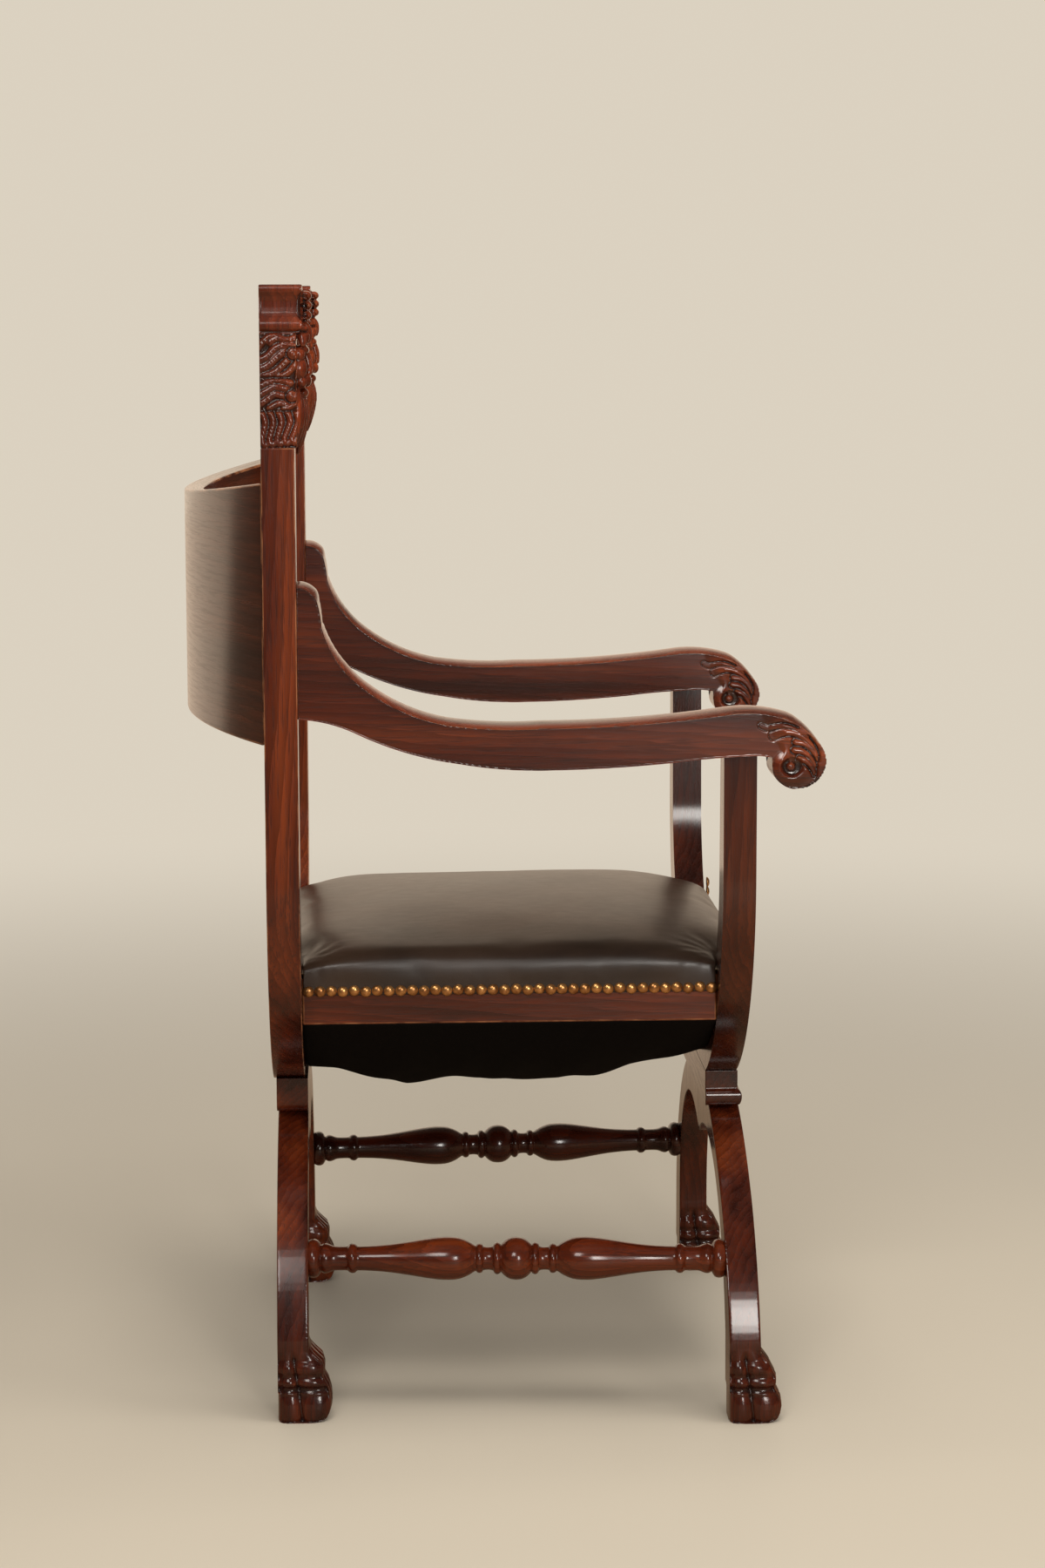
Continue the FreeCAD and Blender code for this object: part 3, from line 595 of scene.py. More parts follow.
paw_top = 80
leg_meets_paw = 0.030
for number, place in enumerate(("front_{}_left", "front_{}_right", "back_{}_left", "back_{}_right")):
    leg_name, paw_name = place.format("leg"), place.format("paw")
    is_front = leg_name.startswith("front")
    leg_low, leg_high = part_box(leg_name)
    paw_low, paw_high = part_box(paw_name)
    blank = packed_mesh(leg_name)
    keep_y = (leg_low.y + leg_high.y) / 2 if is_front else leg_high.y
    for vertex in blank.verts:
        vertex.co.y = keep_y + (vertex.co.y - keep_y) * leg_board / (leg_high.y - leg_low.y)
        if vertex.co.z < leg_low.z + 0.0005:
            vertex.co.z = leg_meets_paw
    rear_y = max(vertex.co.y for vertex in blank.verts)
    middle_x = (paw_low.x + paw_high.x) / 2
    profile = front_paw_profile if is_front else back_paw_profile
    add_paw_blank(blank, middle_x, (paw_high.x - paw_low.x) / 2, rear_y, profile)
    leg_mesh = blended(blank, leg_name, 0.0011, 3)
    places = points_of(leg_mesh)
    normals = normals_of(leg_mesh)
    up = places[:, 2] * 1000
    forward = (rear_y - places[:, 1]) * 1000
    in_paw = rising(paw_top - up, 0, 4)
    on_side = rising(np.abs(normals[:, 0]), 0.45, 0.3) * in_paw
    on_front = rising(-normals[:, 1], 0.30, 0.3) * in_paw
    depth = read_table(up, toe_profile)
    crease = read_table(up, side_crease)
    first = forward - crease
    rear_share = np.clip(1 - 2 * forward / crease, -1, 1)
    front_share = np.clip(1 - 2 * first / np.maximum(read_table(up, profile) - crease, 1), -1, 1)
    rear_edge = np.where(rear_share > 0, toe_edge_depth, crease_depth)
    front_edge = np.where(front_share > 0, crease_depth, toe_edge_depth)
    rounding = np.where(
        first < 0, rear_edge * np.abs(rear_share) ** toe_roundness,
        front_edge * np.abs(front_share) ** toe_roundness)
    depth += rising(73 - up, 0, 10) * (rounding + groove(first))
    places[:, 0] -= np.sign(normals[:, 0]) * on_side * depth / 1000
    # The toes' deeper cuts are marked for painted shade.
    mark_points(leg_mesh, "sunk", on_side * (depth - 2.4) / 3.4)
    across = (places[:, 0] - middle_x) / toe_pitch
    nearest_gap = np.abs(across - np.round(across)) * toe_pitch * 1000
    has_gap = np.abs(np.round(across)) <= 1
    toe_share = np.abs(np.abs(across) % 1 - 0.5) * 2
    front_depth = groove(nearest_gap) * has_gap + front_toe_depth * toe_share ** toe_roundness
    places[:, 1] += on_front * rising(76 - up, 0, 8) * front_depth / 1000
    if is_front:
        places[:, 1] -= read_table(places[:, 2], front_leg_lean)
    places[:, 2] = np.maximum(places[:, 2], 0)
    move_points(leg_mesh, places)
    # The front legs take a darker stain than the back legs: painted shade.
    oak = stained_oak("oak_" + leg_name, "z", 30.0 + number, depth=0.7 if is_front else 0.92)
    leg_piece = new_piece(leg_name + "_carved", leg_mesh, oak)
    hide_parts(leg_name, paw_name)


# Arms: each is sawn to an S from one thick board. The top is crowned across, and the front rolls
# under to a volute whose sides carry a leaf of five lobes running into the rim.
arm_half_width = 0.0275
scroll_radius = 0.0275
arm_crown = 0.0034
arm_fall = 0.0052
leaf_sink = 4.8
# Millimetres forward and up from the scroll's middle, then the lobe's half width at its two ends.
leaf_lobes = (
    (((-36.2, 34.6), (-30.5, 32.2), (-24, 33.4), (-16, 34.4), (-7.5, 32.8), (2, 28.6), (9, 23.6)), 2.9, 1.0),
    (((-24.3, 24.8), (-17, 27.6), (-8, 28.2), (1.4, 25.0), (9.6, 18.6), (15.2, 11.4), (18.2, 5)), 4.5, 1.2),
    (((-2.8, 18.4), (5, 17.0), (11.6, 11.8), (16.2, 5.4), (18.0, 0.6)), 3.7, 1.2),
    (((-4.0, 10.6), (3.2, 9.6), (9.8, 5.0), (14.4, -1.2), (16.2, -5.4)), 3.8, 1.2),
    (((1.0, 2.0), (6.8, 0.6), (11.6, -4.0), (14.6, -9.4), (15.0, -13.5)), 3.9, 1.3),
)
# A dished ground where the gouge ran off, behind the lobes' heads: its line and half width.
leaf_dish = (((-33, 27), (-26, 18), (-15, 17.5), (-9, 11), (-6, 4)), 10.0)
dish_sink = 1.5
eye_place = (-7.4, -5.2)
eye_radius = 4.4
eye_depth = 4.0
eye_height = 4.3
# The curl's rear is drawn in, in metres: its place from the scroll's middle, how far and how wide.
curl_place = (-0.0325, 0.001)
curl_drawn_in = 0.0042
curl_reach = 0.010
# Depth of the volute by distance from its eye, and how its turns open out by angle round the eye.
volute_steps = (
    (0, 3.6), (4.6, 4.4), (7.4, 4.2), (8.8, 2.6), (10.2, 0.3), (11.2, 0.0), (13.0, 0.5), (15.5, 1.5),
    (19, 2.6))
volute_turns = ((-260, 0.92), (-180, 1.0), (-90, 1.0), (-45, 1.12), (0, 1.30), (60, 1.10))
# How much of that depth the well round the eye and the coil outside it keep, by the same angle.
well_radius = 10.2
well_turns = ((-262, 0.8), (-240, 1), (20, 1), (60, 0.8), (90, 0.7))
coil_turns = ((-262, 0.2), (-240, 1), (-70, 1), (-20, 0.35), (20, 0))


def dome(away, half):
    """Height, up to 1, of a rounded form by how far from its middle a point lies."""
    return np.sqrt(np.clip(1 - (away / half) ** 2, 0, 1))


def flat_path(points, steps):
    return np.array([place[:2] for place in smooth_path([Vector(point).to_3d() for point in points], steps)])


def to_path(flat, path):
    """For each run of a path: its number, how far along it each point is nearest, and the distance."""
    for i, (start, end) in enumerate(zip(path, path[1:])):
        run = end - start
        share = np.clip(((flat - start) @ run) / (run @ run), 0, 1)
        yield i, share, np.linalg.norm(flat - start - share[:, None] * run, axis=1)


def lobed(flat, lobes, sink, dish):
    """Depth in millimetres of the ground cut round rounded lobes, or of the dish if that is deeper."""
    cut_width = 2.2
    ground = np.zeros(len(flat))
    relief = np.zeros(len(flat))
    for points, head_half, tail_half in lobes:
        path = flat_path(points, 5)
        halves = np.linspace(0, 1, len(path)) ** 2.4 * (tail_half - head_half) + head_half
        away_share = np.full(len(flat), 9.0)
        margin = np.full(len(flat), -9.0)
        for i, share, away in to_path(flat, path):
            half = halves[i] + (halves[i + 1] - halves[i]) * share
            away_share = np.minimum(away_share, away / half)
            margin = np.maximum(margin, half + cut_width - away)
        ground = np.maximum(ground, np.clip(margin / cut_width, 0, 1) ** 1.3)
        relief = np.maximum(relief, dome(away_share, 1))
    return np.maximum(sink * ground, dish) * (1 - relief)


for number, side in enumerate(("left", "right")):
    arm_name = "arm_" + side
    arm_mesh = blended(packed_mesh(arm_name), arm_name, 0.0009, 3)
    places = points_of(arm_mesh)
    normals = normals_of(arm_mesh)
    arm_low, arm_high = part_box(arm_name)
    middle_x = (arm_low.x + arm_high.x) / 2
    scroll_y = arm_low.y + scroll_radius
    scroll_z = arm_low.z + scroll_radius
    fall = arm_fall * ((places[:, 0] - middle_x) / arm_half_width) ** 2
    roll = np.clip((scroll_y - places[:, 1]) / scroll_radius + 0.2, 0, 1)
    top = np.clip(normals[:, 2] * 1.6, 0, 1)
    lift = arm_crown * top * (1 - roll) - fall * np.maximum(top, roll)
    outline = normals * (0, 1, 1)
    places += outline * (lift * (np.linalg.norm(outline, axis=1) > 0.4))[:, None]
    from_curl = np.hypot(scroll_y - places[:, 1] - curl_place[0], places[:, 2] - scroll_z - curl_place[1])
    drawn_in = curl_drawn_in * np.exp(-(from_curl / curl_reach) ** 2)
    places[:, 1] -= drawn_in * np.clip(normals[:, 1] * 1.5, 0, 1)

    flat = np.stack([scroll_y - places[:, 1], places[:, 2] - scroll_z], axis=1) * 1000
    dish_line = flat_path(leaf_dish[0], 4)
    from_dish = np.min(np.linalg.norm(flat[:, None, :] - dish_line[None], axis=2), axis=1)
    dish = dish_sink * np.clip(1 - (from_dish / leaf_dish[1]) ** 2, 0, 1)
    depth = lobed(flat, leaf_lobes, leaf_sink, dish)
    from_eye = flat - np.array(eye_place)
    away = np.linalg.norm(from_eye, axis=1)
    angle = np.degrees(np.arctan2(from_eye[:, 1], from_eye[:, 0]))
    wound = np.where(angle > 100, angle - 360, angle)
    opened = away / read_table(wound, volute_turns)
    volute = read_table(opened, volute_steps)
    volute *= np.where(opened < well_radius, read_table(wound, well_turns), read_table(wound, coil_turns))
    depth = np.maximum(depth, volute)
    eye = np.maximum(volute, eye_depth) - eye_height * dome(away, eye_radius)
    depth = np.where(away < eye_radius + 0.6, eye, depth)
    on_side = rising(np.abs(normals[:, 0]), 0.5, 0.3)
    on_rim = np.clip((1.0 - np.hypot(flat[:, 0], flat[:, 1]) / (scroll_radius * 1000)) / 0.05, 0, 1)
    on_side *= np.where(flat[:, 0] < 0, 1, on_rim)
    places[:, 0] -= np.sign(normals[:, 0]) * on_side * depth / 1000
    # The leaf's and volute's deeper cuts are marked for painted shade.
    mark_points(arm_mesh, "sunk", on_side * (depth - 0.9) / 3.4)
    places = np.clip(places, arm_low, arm_high + Vector((0, 0, arm_crown)))
    move_points(arm_mesh, places)
    # The arms take a lighter stain than the uprights and rails: painted light on their lit tops.
    arm_oak = stained_oak("oak_" + arm_name, "y", 41.0 + number, depth=1.3, mirror=1.65)
    arm_piece = new_piece(arm_name + "_carved", arm_mesh, arm_oak)
    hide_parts(arm_name)


# Stretchers: turned on a lathe from square oak, with a ball between two vases, beads, a ring and
# a collar, and a tenon at each end that runs into the leg.
# Millimetres from the middle towards one end, and radius.
turned_profile = (
    (0, 21.3), (5, 20.7), (9.5, 18.6), (13, 15.4), (14.6, 13.6), (15.2, 14.4), (17.6, 15.9), (20.2, 15.2),
    (21.6, 13.4), (22.0, 12.4), (24.5, 11.5), (28, 11.3), (31, 11.7), (32.0, 12.6), (32.8, 13.9),
    (35.2, 14.7), (37.6, 13.9), (38.6, 12.7), (40.5, 13.4), (46, 17.0), (54, 20.3), (63, 21.4), (74, 21.1),
    (88, 19.2), (104, 16.5), (120, 14.1), (136, 12.6), (150, 12.0), (152.6, 12.3), (154.2, 13.9),
    (156.2, 14.7), (158.4, 14.5), (160.2, 13.6), (161.6, 12.3), (164, 11.9), (171, 11.9), (175.5, 12.4),
    (178.5, 13.6), (181.5, 14.7), (184.2, 14.8), (186.2, 14.0), (187.3, 13.3), (188.2, 14.8), (190.2, 17.9),
    (193.6, 19.3), (197, 18.9), (199.3, 17.7), (200, 16.9))
turning_sides = 56


def turned(name, start, end):
    """Spin the profile about the line from start to end, mirrored about its middle."""
    half = (end - start).length / 2
    reach = turned_profile[-1][0]
    right = [Vector((along * half * 1000 / reach, radius, 0)) for along, radius in turned_profile]
    cut = smooth_path(right, 2)
    whole = [Vector((-p.x, p.y, 0)) for p in reversed(cut[1:])] + cut
    middle = (start + end) / 2
    along = (end - start).normalized()
    aside = along.orthogonal().normalized()
    up = along.cross(aside)
    bm = bmesh.new()
    add_skin(bm, [
        [middle + (along * p.x + p.y * (math.cos(a) * aside + math.sin(a) * up)) / 1000
         for a in (2 * math.pi * k / turning_sides for k in range(turning_sides))]
        for p in whole])
    bmesh.ops.recalc_face_normals(bm, faces=bm.faces)
    return mesh_from(bm, name)


collar_radius = 0.0185
into_leg = 0.0005
front_face_shift = 0.0022
for number, (side, sign) in enumerate((("left", 1), ("right", -1))):
    name = "stretcher_" + side
    low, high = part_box(name)
    centre_z = (low.z + high.z) / 2
    front_x = sign * (max(abs(low.x), abs(high.x)) - collar_radius)
    back_x = sign * (min(abs(low.x), abs(high.x)) + collar_radius)
    start = Vector((back_x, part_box("back_leg_" + side)[1].y - leg_board + into_leg, centre_z))
    leg_low, leg_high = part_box("front_leg_" + side)
    front_face = (leg_low.y + leg_high.y + leg_board) / 2 - front_face_shift
    end = Vector((front_x, front_face - into_leg, centre_z))
    # The far, left stretcher takes a darker stain than the near one: painted shade under the seat.
    oak = stained_oak("oak_" + name, "y", 51.0 + number, depth=(0.5, 0.85)[number])
    stretcher_piece = new_piece(name + "_turned", turned(name, start, end), oak)
    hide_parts(name)


# Post heads: each post ends in a block carved on three sides, with a moulded band at the top and
# below it a lion's mask under a leaf, whose mane falls in three tiers of locks and whose beard
# hangs down over the post.
head_blank = 0.0345
head_sink = 0.0032
band_blank = 0.0405
band_foot = 0.108
# Millimetres forward from the head's back and up from its foot: broad locks of the mane, each with
# its half width. The lowest tier is many short locks, and each curl is a boss with a groove.
mane_locks = (
    (((-3, 92), (3, 99), (9, 104), (16, 107)), 3.6), (((10, 99), (17, 103), (26, 101), (35, 103.5)), 3.6),
    (((0, 82), (8, 86.5), (15, 93.5), (24, 96.5), (33, 95.5)), 4.1),
    (((-2, 73.5), (7, 77), (15, 84), (22, 89.5), (28, 90)), 4.2),
    (((3, 67.5), (13, 70.5), (20, 76), (26, 82)), 3.8), (((17, 67), (25, 69.5), (31, 75), (36, 81)), 3.4),
    (((-2, 57), (8, 62), (18, 63.5), (29, 61)), 3.5), (((-2, 48.5), (7, 54), (15, 57.5), (25, 55.5)), 3.8),
    (((-1, 40.5), (7, 46), (14, 50.5), (23, 49)), 3.7), (((9, 37.5), (16, 41.5), (24, 42)), 3.3),
    (((22, 36.5), (28, 38.5), (35, 43)), 3.0),
)
mane_ends = (
    ((1.0, 34), (4.5, 25), (3.0, 15), (1.5, 7), (4.5, 2.5), (8.5, 5.5)),
    ((34.0, 34), (36, 25), (32.5, 16), (29.5, 9), (32, 5), (35.5, 8)), 5)
curls = ((31.5, 88.4, 5.8), (30, 48.5, 5.6))
hair_pitch = 1.25
band_steps = (
    (0, 0), (102, 0), (106.6, 0), (107.6, 3.2), (109.6, 3.4), (111, 1.2), (113, 0.2), (115.4, 0),
    (118, 0.3), (120.2, 1.4), (123, 3.1), (127, 4.4), (132, 4.9), (137.5, 4.6), (142, 3.4), (144.6, 1.6),
    (146, 0.5), (148.4, 0), (150.6, 0.2), (152, 0.9), (153, 2.0))


def relief_of_locks(flat, locks):
    """Height, up to 1, of rounded locks with fine hair lines over points of a flat."""
    relief = np.zeros(len(flat))
    for points, half in locks:
        for _, _, away in to_path(flat, flat_path(points, 4)):
            hair = 0.10 * np.cos(away * 2 * math.pi / hair_pitch) * (away < half)
            relief = np.maximum(relief, 0.92 * dome(away, half) + hair)
    return relief


def lion_mask(bm, x, back_y, foot_z):
    """The front of a head: beads on the band, a leaf, brows, nose, cheeks, muzzle and beard."""
    def at(across, forward, up):
        return Vector((x + across / 1000, back_y - forward / 1000, foot_z + up / 1000))

    def lump(across, forward, up, radii, tip=0):
        for side in ((-1, 1) if across else (1,)):
            add_lump(bm, at(side * across, forward, up), [radius / 1000 for radius in radii], tip)

    def lock(points, thick, thin):
        for side in ((-1, 1) if points[1][0] else (1,)):
            add_lock(bm, [at(side * a, f, u) for a, f, u in points], thick / 1000, thin / 1000)

    for up, reach in ((142.4, 44.0), (133.2, 44.3), (124.0, 44.0)):
        lump(0, reach, up, (8.6, 5.6, 4.7))
    lock(((0, 38, 118), (0.01, 43.6, 111), (0.01, 45.2, 98)), 5.6, 2.6)
    lock(((3, 38, 117), (9, 42.6, 109), (13.5, 43.0, 97)), 5.0, 2.0)
    lock(((7, 36, 116), (16, 39.6, 108), (20.5, 41.0, 95)), 4.8, 2.0)
    lump(8.5, 40.5, 92, (9.5, 6.4, 4.6), 12)
    lump(18, 37.5, 88, (6, 5.5, 6.5))
    lock(((0, 41, 93), (0.01, 44.2, 84), (0.01, 47.0, 73)), 4.4, 3.4)
    lump(0, 46.2, 71, (5.6, 3.4, 4.0))
    lump(8.8, 39.8, 82.5, (4.6, 3.4, 3.2))
    lump(15, 37.0, 75, (8.6, 8.0, 11.5))
    lump(5.4, 44.2, 63, (6.6, 4.4, 6.0))
    lump(13.5, 39.0, 62, (7, 5.6, 6.5))
    lump(0, 40.5, 51.5, (7.2, 5.2, 4.6))
    lock(((0, 39.5, 51), (0.01, 41.0, 28), (0.01, 34.5, -7)), 5.2, 1.5)
    lock(((4, 38.5, 50), (8.2, 40.0, 29), (4.6, 35.2, 1)), 4.6, 1.6)
    lock(((9, 37, 53), (15.0, 38.0, 30), (11.5, 34.5, 5)), 4.6, 1.6)
    lock(((14, 35, 58), (20.5, 36.0, 34), (18.5, 33.6, 9)), 4.2, 1.8)


first, last, count = mane_ends
locks = list(mane_locks)
for share in (place / (count - 1) for place in range(count)):
    locks.append(([tuple(a + (b - a) * share for a, b in zip(p, q)) for p, q in zip(first, last)], 3.3))
for number, side in enumerate(("left", "right")):
    head_name = "post_head_" + side
    head_low, head_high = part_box(head_name)
    middle_x = (head_low.x + head_high.x) / 2
    head_form = bmesh.new()
    add_block(head_form, (head_low.x, head_high.y - head_blank, head_low.z), head_high)
    add_block(head_form, (head_low.x, head_high.y - band_blank, head_low.z + band_foot), head_high)
    lion_mask(head_form, middle_x, head_high.y, head_low.z)
    head_mesh = blended(head_form, head_name, 0.00095, 2)
    places = points_of(head_mesh)
    normals = normals_of(head_mesh)
    flat = np.stack([head_high.y - places[:, 1], places[:, 2] - head_low.z], axis=1) * 1000
    relief = relief_of_locks(flat, locks)
    for forward, up, radius in curls:
        away = np.linalg.norm(flat - np.array((forward, up)), axis=1)
        relief = np.where(away < radius + 1.3, 0, relief)
        ring = np.clip(1 - np.abs(away - radius * 0.55) / 0.9, 0, 1) * 0.35
        relief = np.maximum(relief, dome(away, radius) * 1.12 - ring)
    tier_break = np.minimum(np.abs(flat[:, 1] - 66.0), np.abs(flat[:, 1] - 35.0))
    relief *= np.clip(tier_break / 1.6, 0.15, 1)
    in_mane = rising(35.5 - flat[:, 0], 0, 2.5) * rising(107.5 - flat[:, 1], 0, 1.5)
    in_mane *= rising(flat[:, 1], -1.0, 2.0)
    on_side = rising(np.abs(normals[:, 0]), 0.55, 0.3)
    places[:, 0] -= np.sign(normals[:, 0]) * on_side * in_mane * head_sink * (1 - np.clip(relief, 0, 1))
    # The mane's ground between the locks is marked for painted shade.
    mark_points(head_mesh, "sunk", on_side * in_mane * (0.75 - relief) / 0.8)
    band_depth = read_table(flat[:, 1], band_steps) / 1000
    beside_beads = rising(np.abs(places[:, 0] - middle_x) * 1000, 7.5, 1.5)
    band_depth *= np.where(normals[:, 1] < -0.5, beside_beads, 1)
    level = rising(np.hypot(normals[:, 0], normals[:, 1]), 0.3, 0.4) * (normals[:, 1] < 0.6)
    places[:, :2] -= normals[:, :2] * (band_depth * level)[:, None]
    lowest = np.array((head_low.x, head_low.y, head_low.z - 0.008))
    places = np.clip(places, lowest, np.array(head_high))
    move_points(head_mesh, places)
    # The heads take the lightest stain of all: painted light.
    head_oak = stained_oak("oak_" + head_name, "z", 61.0 + number, depth=1.45)
    head_piece = new_piece(head_name + "_carved", head_mesh, head_oak)
    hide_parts(head_name)


# Seat rails' joinery and webbing: glued corner blocks of beech, four jute straps each way, and
# a hessian over them that carries the stuffing.
def spotted(name, dark, light, scale, roughness, fuzz=0.0, stretch=(1, 1, 1)):
    """A dull fibrous material, mottled between two colours."""
    material, tree, finish = new_material(name)
    place = node(tree, "ShaderNodeTexCoord").outputs["Object"]
    drawn = node(tree, "ShaderNodeMapping", {"Vector": place, "Scale": stretch}).outputs[0]
    fibres = noise(tree, drawn, scale, 6)
    bump = node(tree, "ShaderNodeBump", {"Height": fibres, "Strength": 0.5, "Distance": 0.0008})
    set_inputs(finish, {
        "Base Color": toned(tree, fibres, (0.32, dark), (0.68, light)), "Roughness": roughness,
        "Sheen Weight": fuzz, "Normal": bump.outputs[0]})
    return material


def dress(node_name, material):
    """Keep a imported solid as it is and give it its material."""
    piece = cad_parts[node_name]
    piece.data.materials.clear()
    piece.data.materials.append(material)


beech = spotted("beech", (0.33, 0.21, 0.11), (0.46, 0.31, 0.17), 60, 0.6, stretch=(1, 1, 12))
sawn_piece("seat_corner_blocks", 0.001, beech)
dress("seat_webbing", spotted("jute", (0.20, 0.13, 0.07), (0.36, 0.26, 0.15), 420, 0.9, 0.4))
dress("seat_hessian", spotted("sacking", (0.24, 0.17, 0.10), (0.42, 0.32, 0.20), 700, 0.95, 0.4))
for number, name in enumerate(("arm_pegs", "crest_pegs", "hub_pegs", "leg_pegs")):
    dress(name, stained_oak("oak_" + name, "x", 70.0 + number))


# Seat: one hide of dark brown leather over loose hair, pulled down on all sides and folded round
# the four posts, where it puckers. The stuffing's pressure crowns it.
seat_low, seat_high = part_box("seat_leather")
rail_low, rail_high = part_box("seat_side_rail_left")
hide_half = seat_high.x - 0.0004
hide_front = seat_low.y + 0.0005
hide_rear = seat_high.y - 0.0005
post_front = rail_low.y + 0.0012
post_rear = rail_high.y - 0.0012
tongue_half = 0.2056
hide_edge = seat_low.z
shoulder = 0.4665
end_tuck = 0.010
roll_start = 0.446
# The sides' fullest height, how far up and down it reaches, and how far it stands out.
belly_level = 0.4535
belly_reach = 0.011
belly_out = 0.0030
# Height of the crown along the middle, which is fullest towards the front. Sideways it falls to
# the edge's height.
crown_line = (
    (-0.250, 0.4600), (-0.232, 0.4680), (-0.215, 0.4730), (-0.187, 0.4778), (-0.162, 0.4805),
    (-0.124, 0.4828), (-0.078, 0.4838), (0.000, 0.4825), (0.078, 0.4796), (0.140, 0.4755), (0.187, 0.4700),
    (0.220, 0.4600))
edge_line = (
    (-0.250, 0.4560), (-0.225, 0.4610), (-0.190, 0.4650), (0.160, 0.4640), (0.200, 0.4610), (0.220, 0.4560))


def seat_form():
    form = bmesh.new()
    foot = hide_edge - 0.004
    add_block(form, (-hide_half, post_front - end_tuck, foot), (hide_half, post_rear + end_tuck, shoulder))
    add_block(form, (-tongue_half, hide_front, foot), (tongue_half, hide_rear, shoulder))
    mesh = blended(form, "seat_hide", 0.0045, 10)
    places = points_of(mesh)
    edge = read_table(places[:, 1], edge_line)
    fullness = 1 - (np.abs(places[:, 0]) / hide_half) ** 2.2
    crown = edge + (read_table(places[:, 1], crown_line) - edge) * fullness
    rise = rising(places[:, 2], roll_start, shoulder - roll_start)
    places[:, 2] += (crown - shoulder) * rise * rise * (3 - 2 * rise)
    belly = np.exp(-((places[:, 2] - belly_level) / belly_reach) ** 2)
    between_posts = (places[:, 1] > post_front + 0.004) & (places[:, 1] < post_rear - 0.004)
    end_fade = np.clip(np.minimum(places[:, 1] - post_front, post_rear - places[:, 1]) / 0.05, 0, 1)
    out = between_posts & (np.abs(places[:, 0]) > hide_half - 0.008)
    places[out, 0] += (np.sign(places[:, 0]) * belly_out * belly * end_fade)[out]
    move_points(mesh, places)
    return mesh


def stuffed(mesh, held_below, pressure, most, ironing):
    """Cloth simulation of a hide that is nailed below one height and filled from inside, then smoothed."""
    hide = add_object("hide_in_work", mesh)
    moments = 20
    fade = 0.010
    before = points_of(mesh)
    nailed = hide.vertex_groups.new(name="nailed")
    for vertex in mesh.vertices:
        weight = min(1.0, max(0.0, (held_below + fade - vertex.co.z) / fade))
        if weight > 0:
            nailed.add([vertex.index], weight, "REPLACE")
    cloth = hide.modifiers.new("cloth", "CLOTH")
    for setting, value in {
            "quality": 6, "mass": 0.6, "tension_stiffness": 30, "compression_stiffness": 30,
            "shear_stiffness": 20, "bending_stiffness": 12, "use_pressure": True,
            "uniform_pressure_force": pressure, "shrink_min": -0.004, "vertex_group_mass": "nailed"}.items():
        setattr(cloth.settings, setting, value)
    cloth.settings.effector_weights.gravity = 0
    cloth.point_cache.frame_start = 1
    cloth.point_cache.frame_end = moments
    scene = bpy.context.scene
    for moment in range(1, moments + 1):
        scene.frame_set(moment)
    ready = hide.evaluated_get(bpy.context.evaluated_depsgraph_get())
    result = bpy.data.meshes.new_from_object(ready)
    after = points_of(result)
    scene.frame_set(1)
    bpy.data.objects.remove(hide)
    moved = after - before
    length = np.linalg.norm(moved, axis=1, keepdims=True)
    settled = before + moved * np.minimum(1, most / np.maximum(length, 1e-9))
    ends = np.array([edge.vertices[:] for edge in result.edges])
    beside = np.bincount(ends.ravel(), minlength=len(settled))[:, None]
    above = rising(settled[:, 2:], held_below + 0.004, fade)
    for _ in range(ironing):
        drawn = np.zeros_like(settled)
        np.add.at(drawn, ends[:, 0], settled[ends[:, 1]])
        np.add.at(drawn, ends[:, 1], settled[ends[:, 0]])
        settled += above * 0.5 * (drawn / beside - settled)
    move_points(result, settled)
    return result


held = 0.012
hide_mesh = seat_form()
hide_mesh = stuffed(hide_mesh, hide_edge + held, pressure=1.4, most=0.004, ironing=14)
places = points_of(hide_mesh)
normals = normals_of(hide_mesh)
x, y, z = places.T
above_nails = rising(z, hide_edge + held, 0.02)
# The leather dips towards each post, and puckers in a ring round it.
post_x_place = 0.222
post_y_places = (post_front - 0.006, post_rear + 0.006)
dip_depth = 0.0068
dip_reach = 0.044
pucker_ring = 0.026
pucker_reach = 0.020
dent = np.zeros(len(places))
pucker = np.zeros(len(places))
for post_x, post_y in ((side * post_x_place, post_y) for side in (-1, 1) for post_y in post_y_places):
    away = np.hypot(x - post_x, y - post_y)
    angle = np.arctan2(y - post_y, x - post_x)
    dent += dip_depth * np.exp(-(away / dip_reach) ** 2)
    folds = 0.00045 * np.sin(angle * 15 + 1.7 * np.sin(away * 90)) + 0.0002 * np.sin(angle * 31 + away * 160)
    pucker += np.exp(-((away - pucker_ring) / pucker_reach) ** 2) * folds
along_side = rising(np.abs(x), 0.214, 0.02)
near_ends = rising(np.abs(y + 0.010), 0.100, 0.09)
creases = along_side * near_ends * 0.00022 * (
    np.sin(y * 820 + 3 * np.sin(z * 60)) + 0.6 * np.sin(y * 1430 + 40 * z + 2.0))
sway = 0.0007 * np.sin(x * 17 + 2.1) * np.sin(y * 21 + 0.6) + 0.0002 * np.sin(x * 41 + 3 * y) * np.cos(y * 33)
places += normals * (above_nails * (pucker + creases + sway))[:, None]
places[:, 2] -= above_nails * np.clip(normals[:, 2] + 0.35, 0, 1) * dent
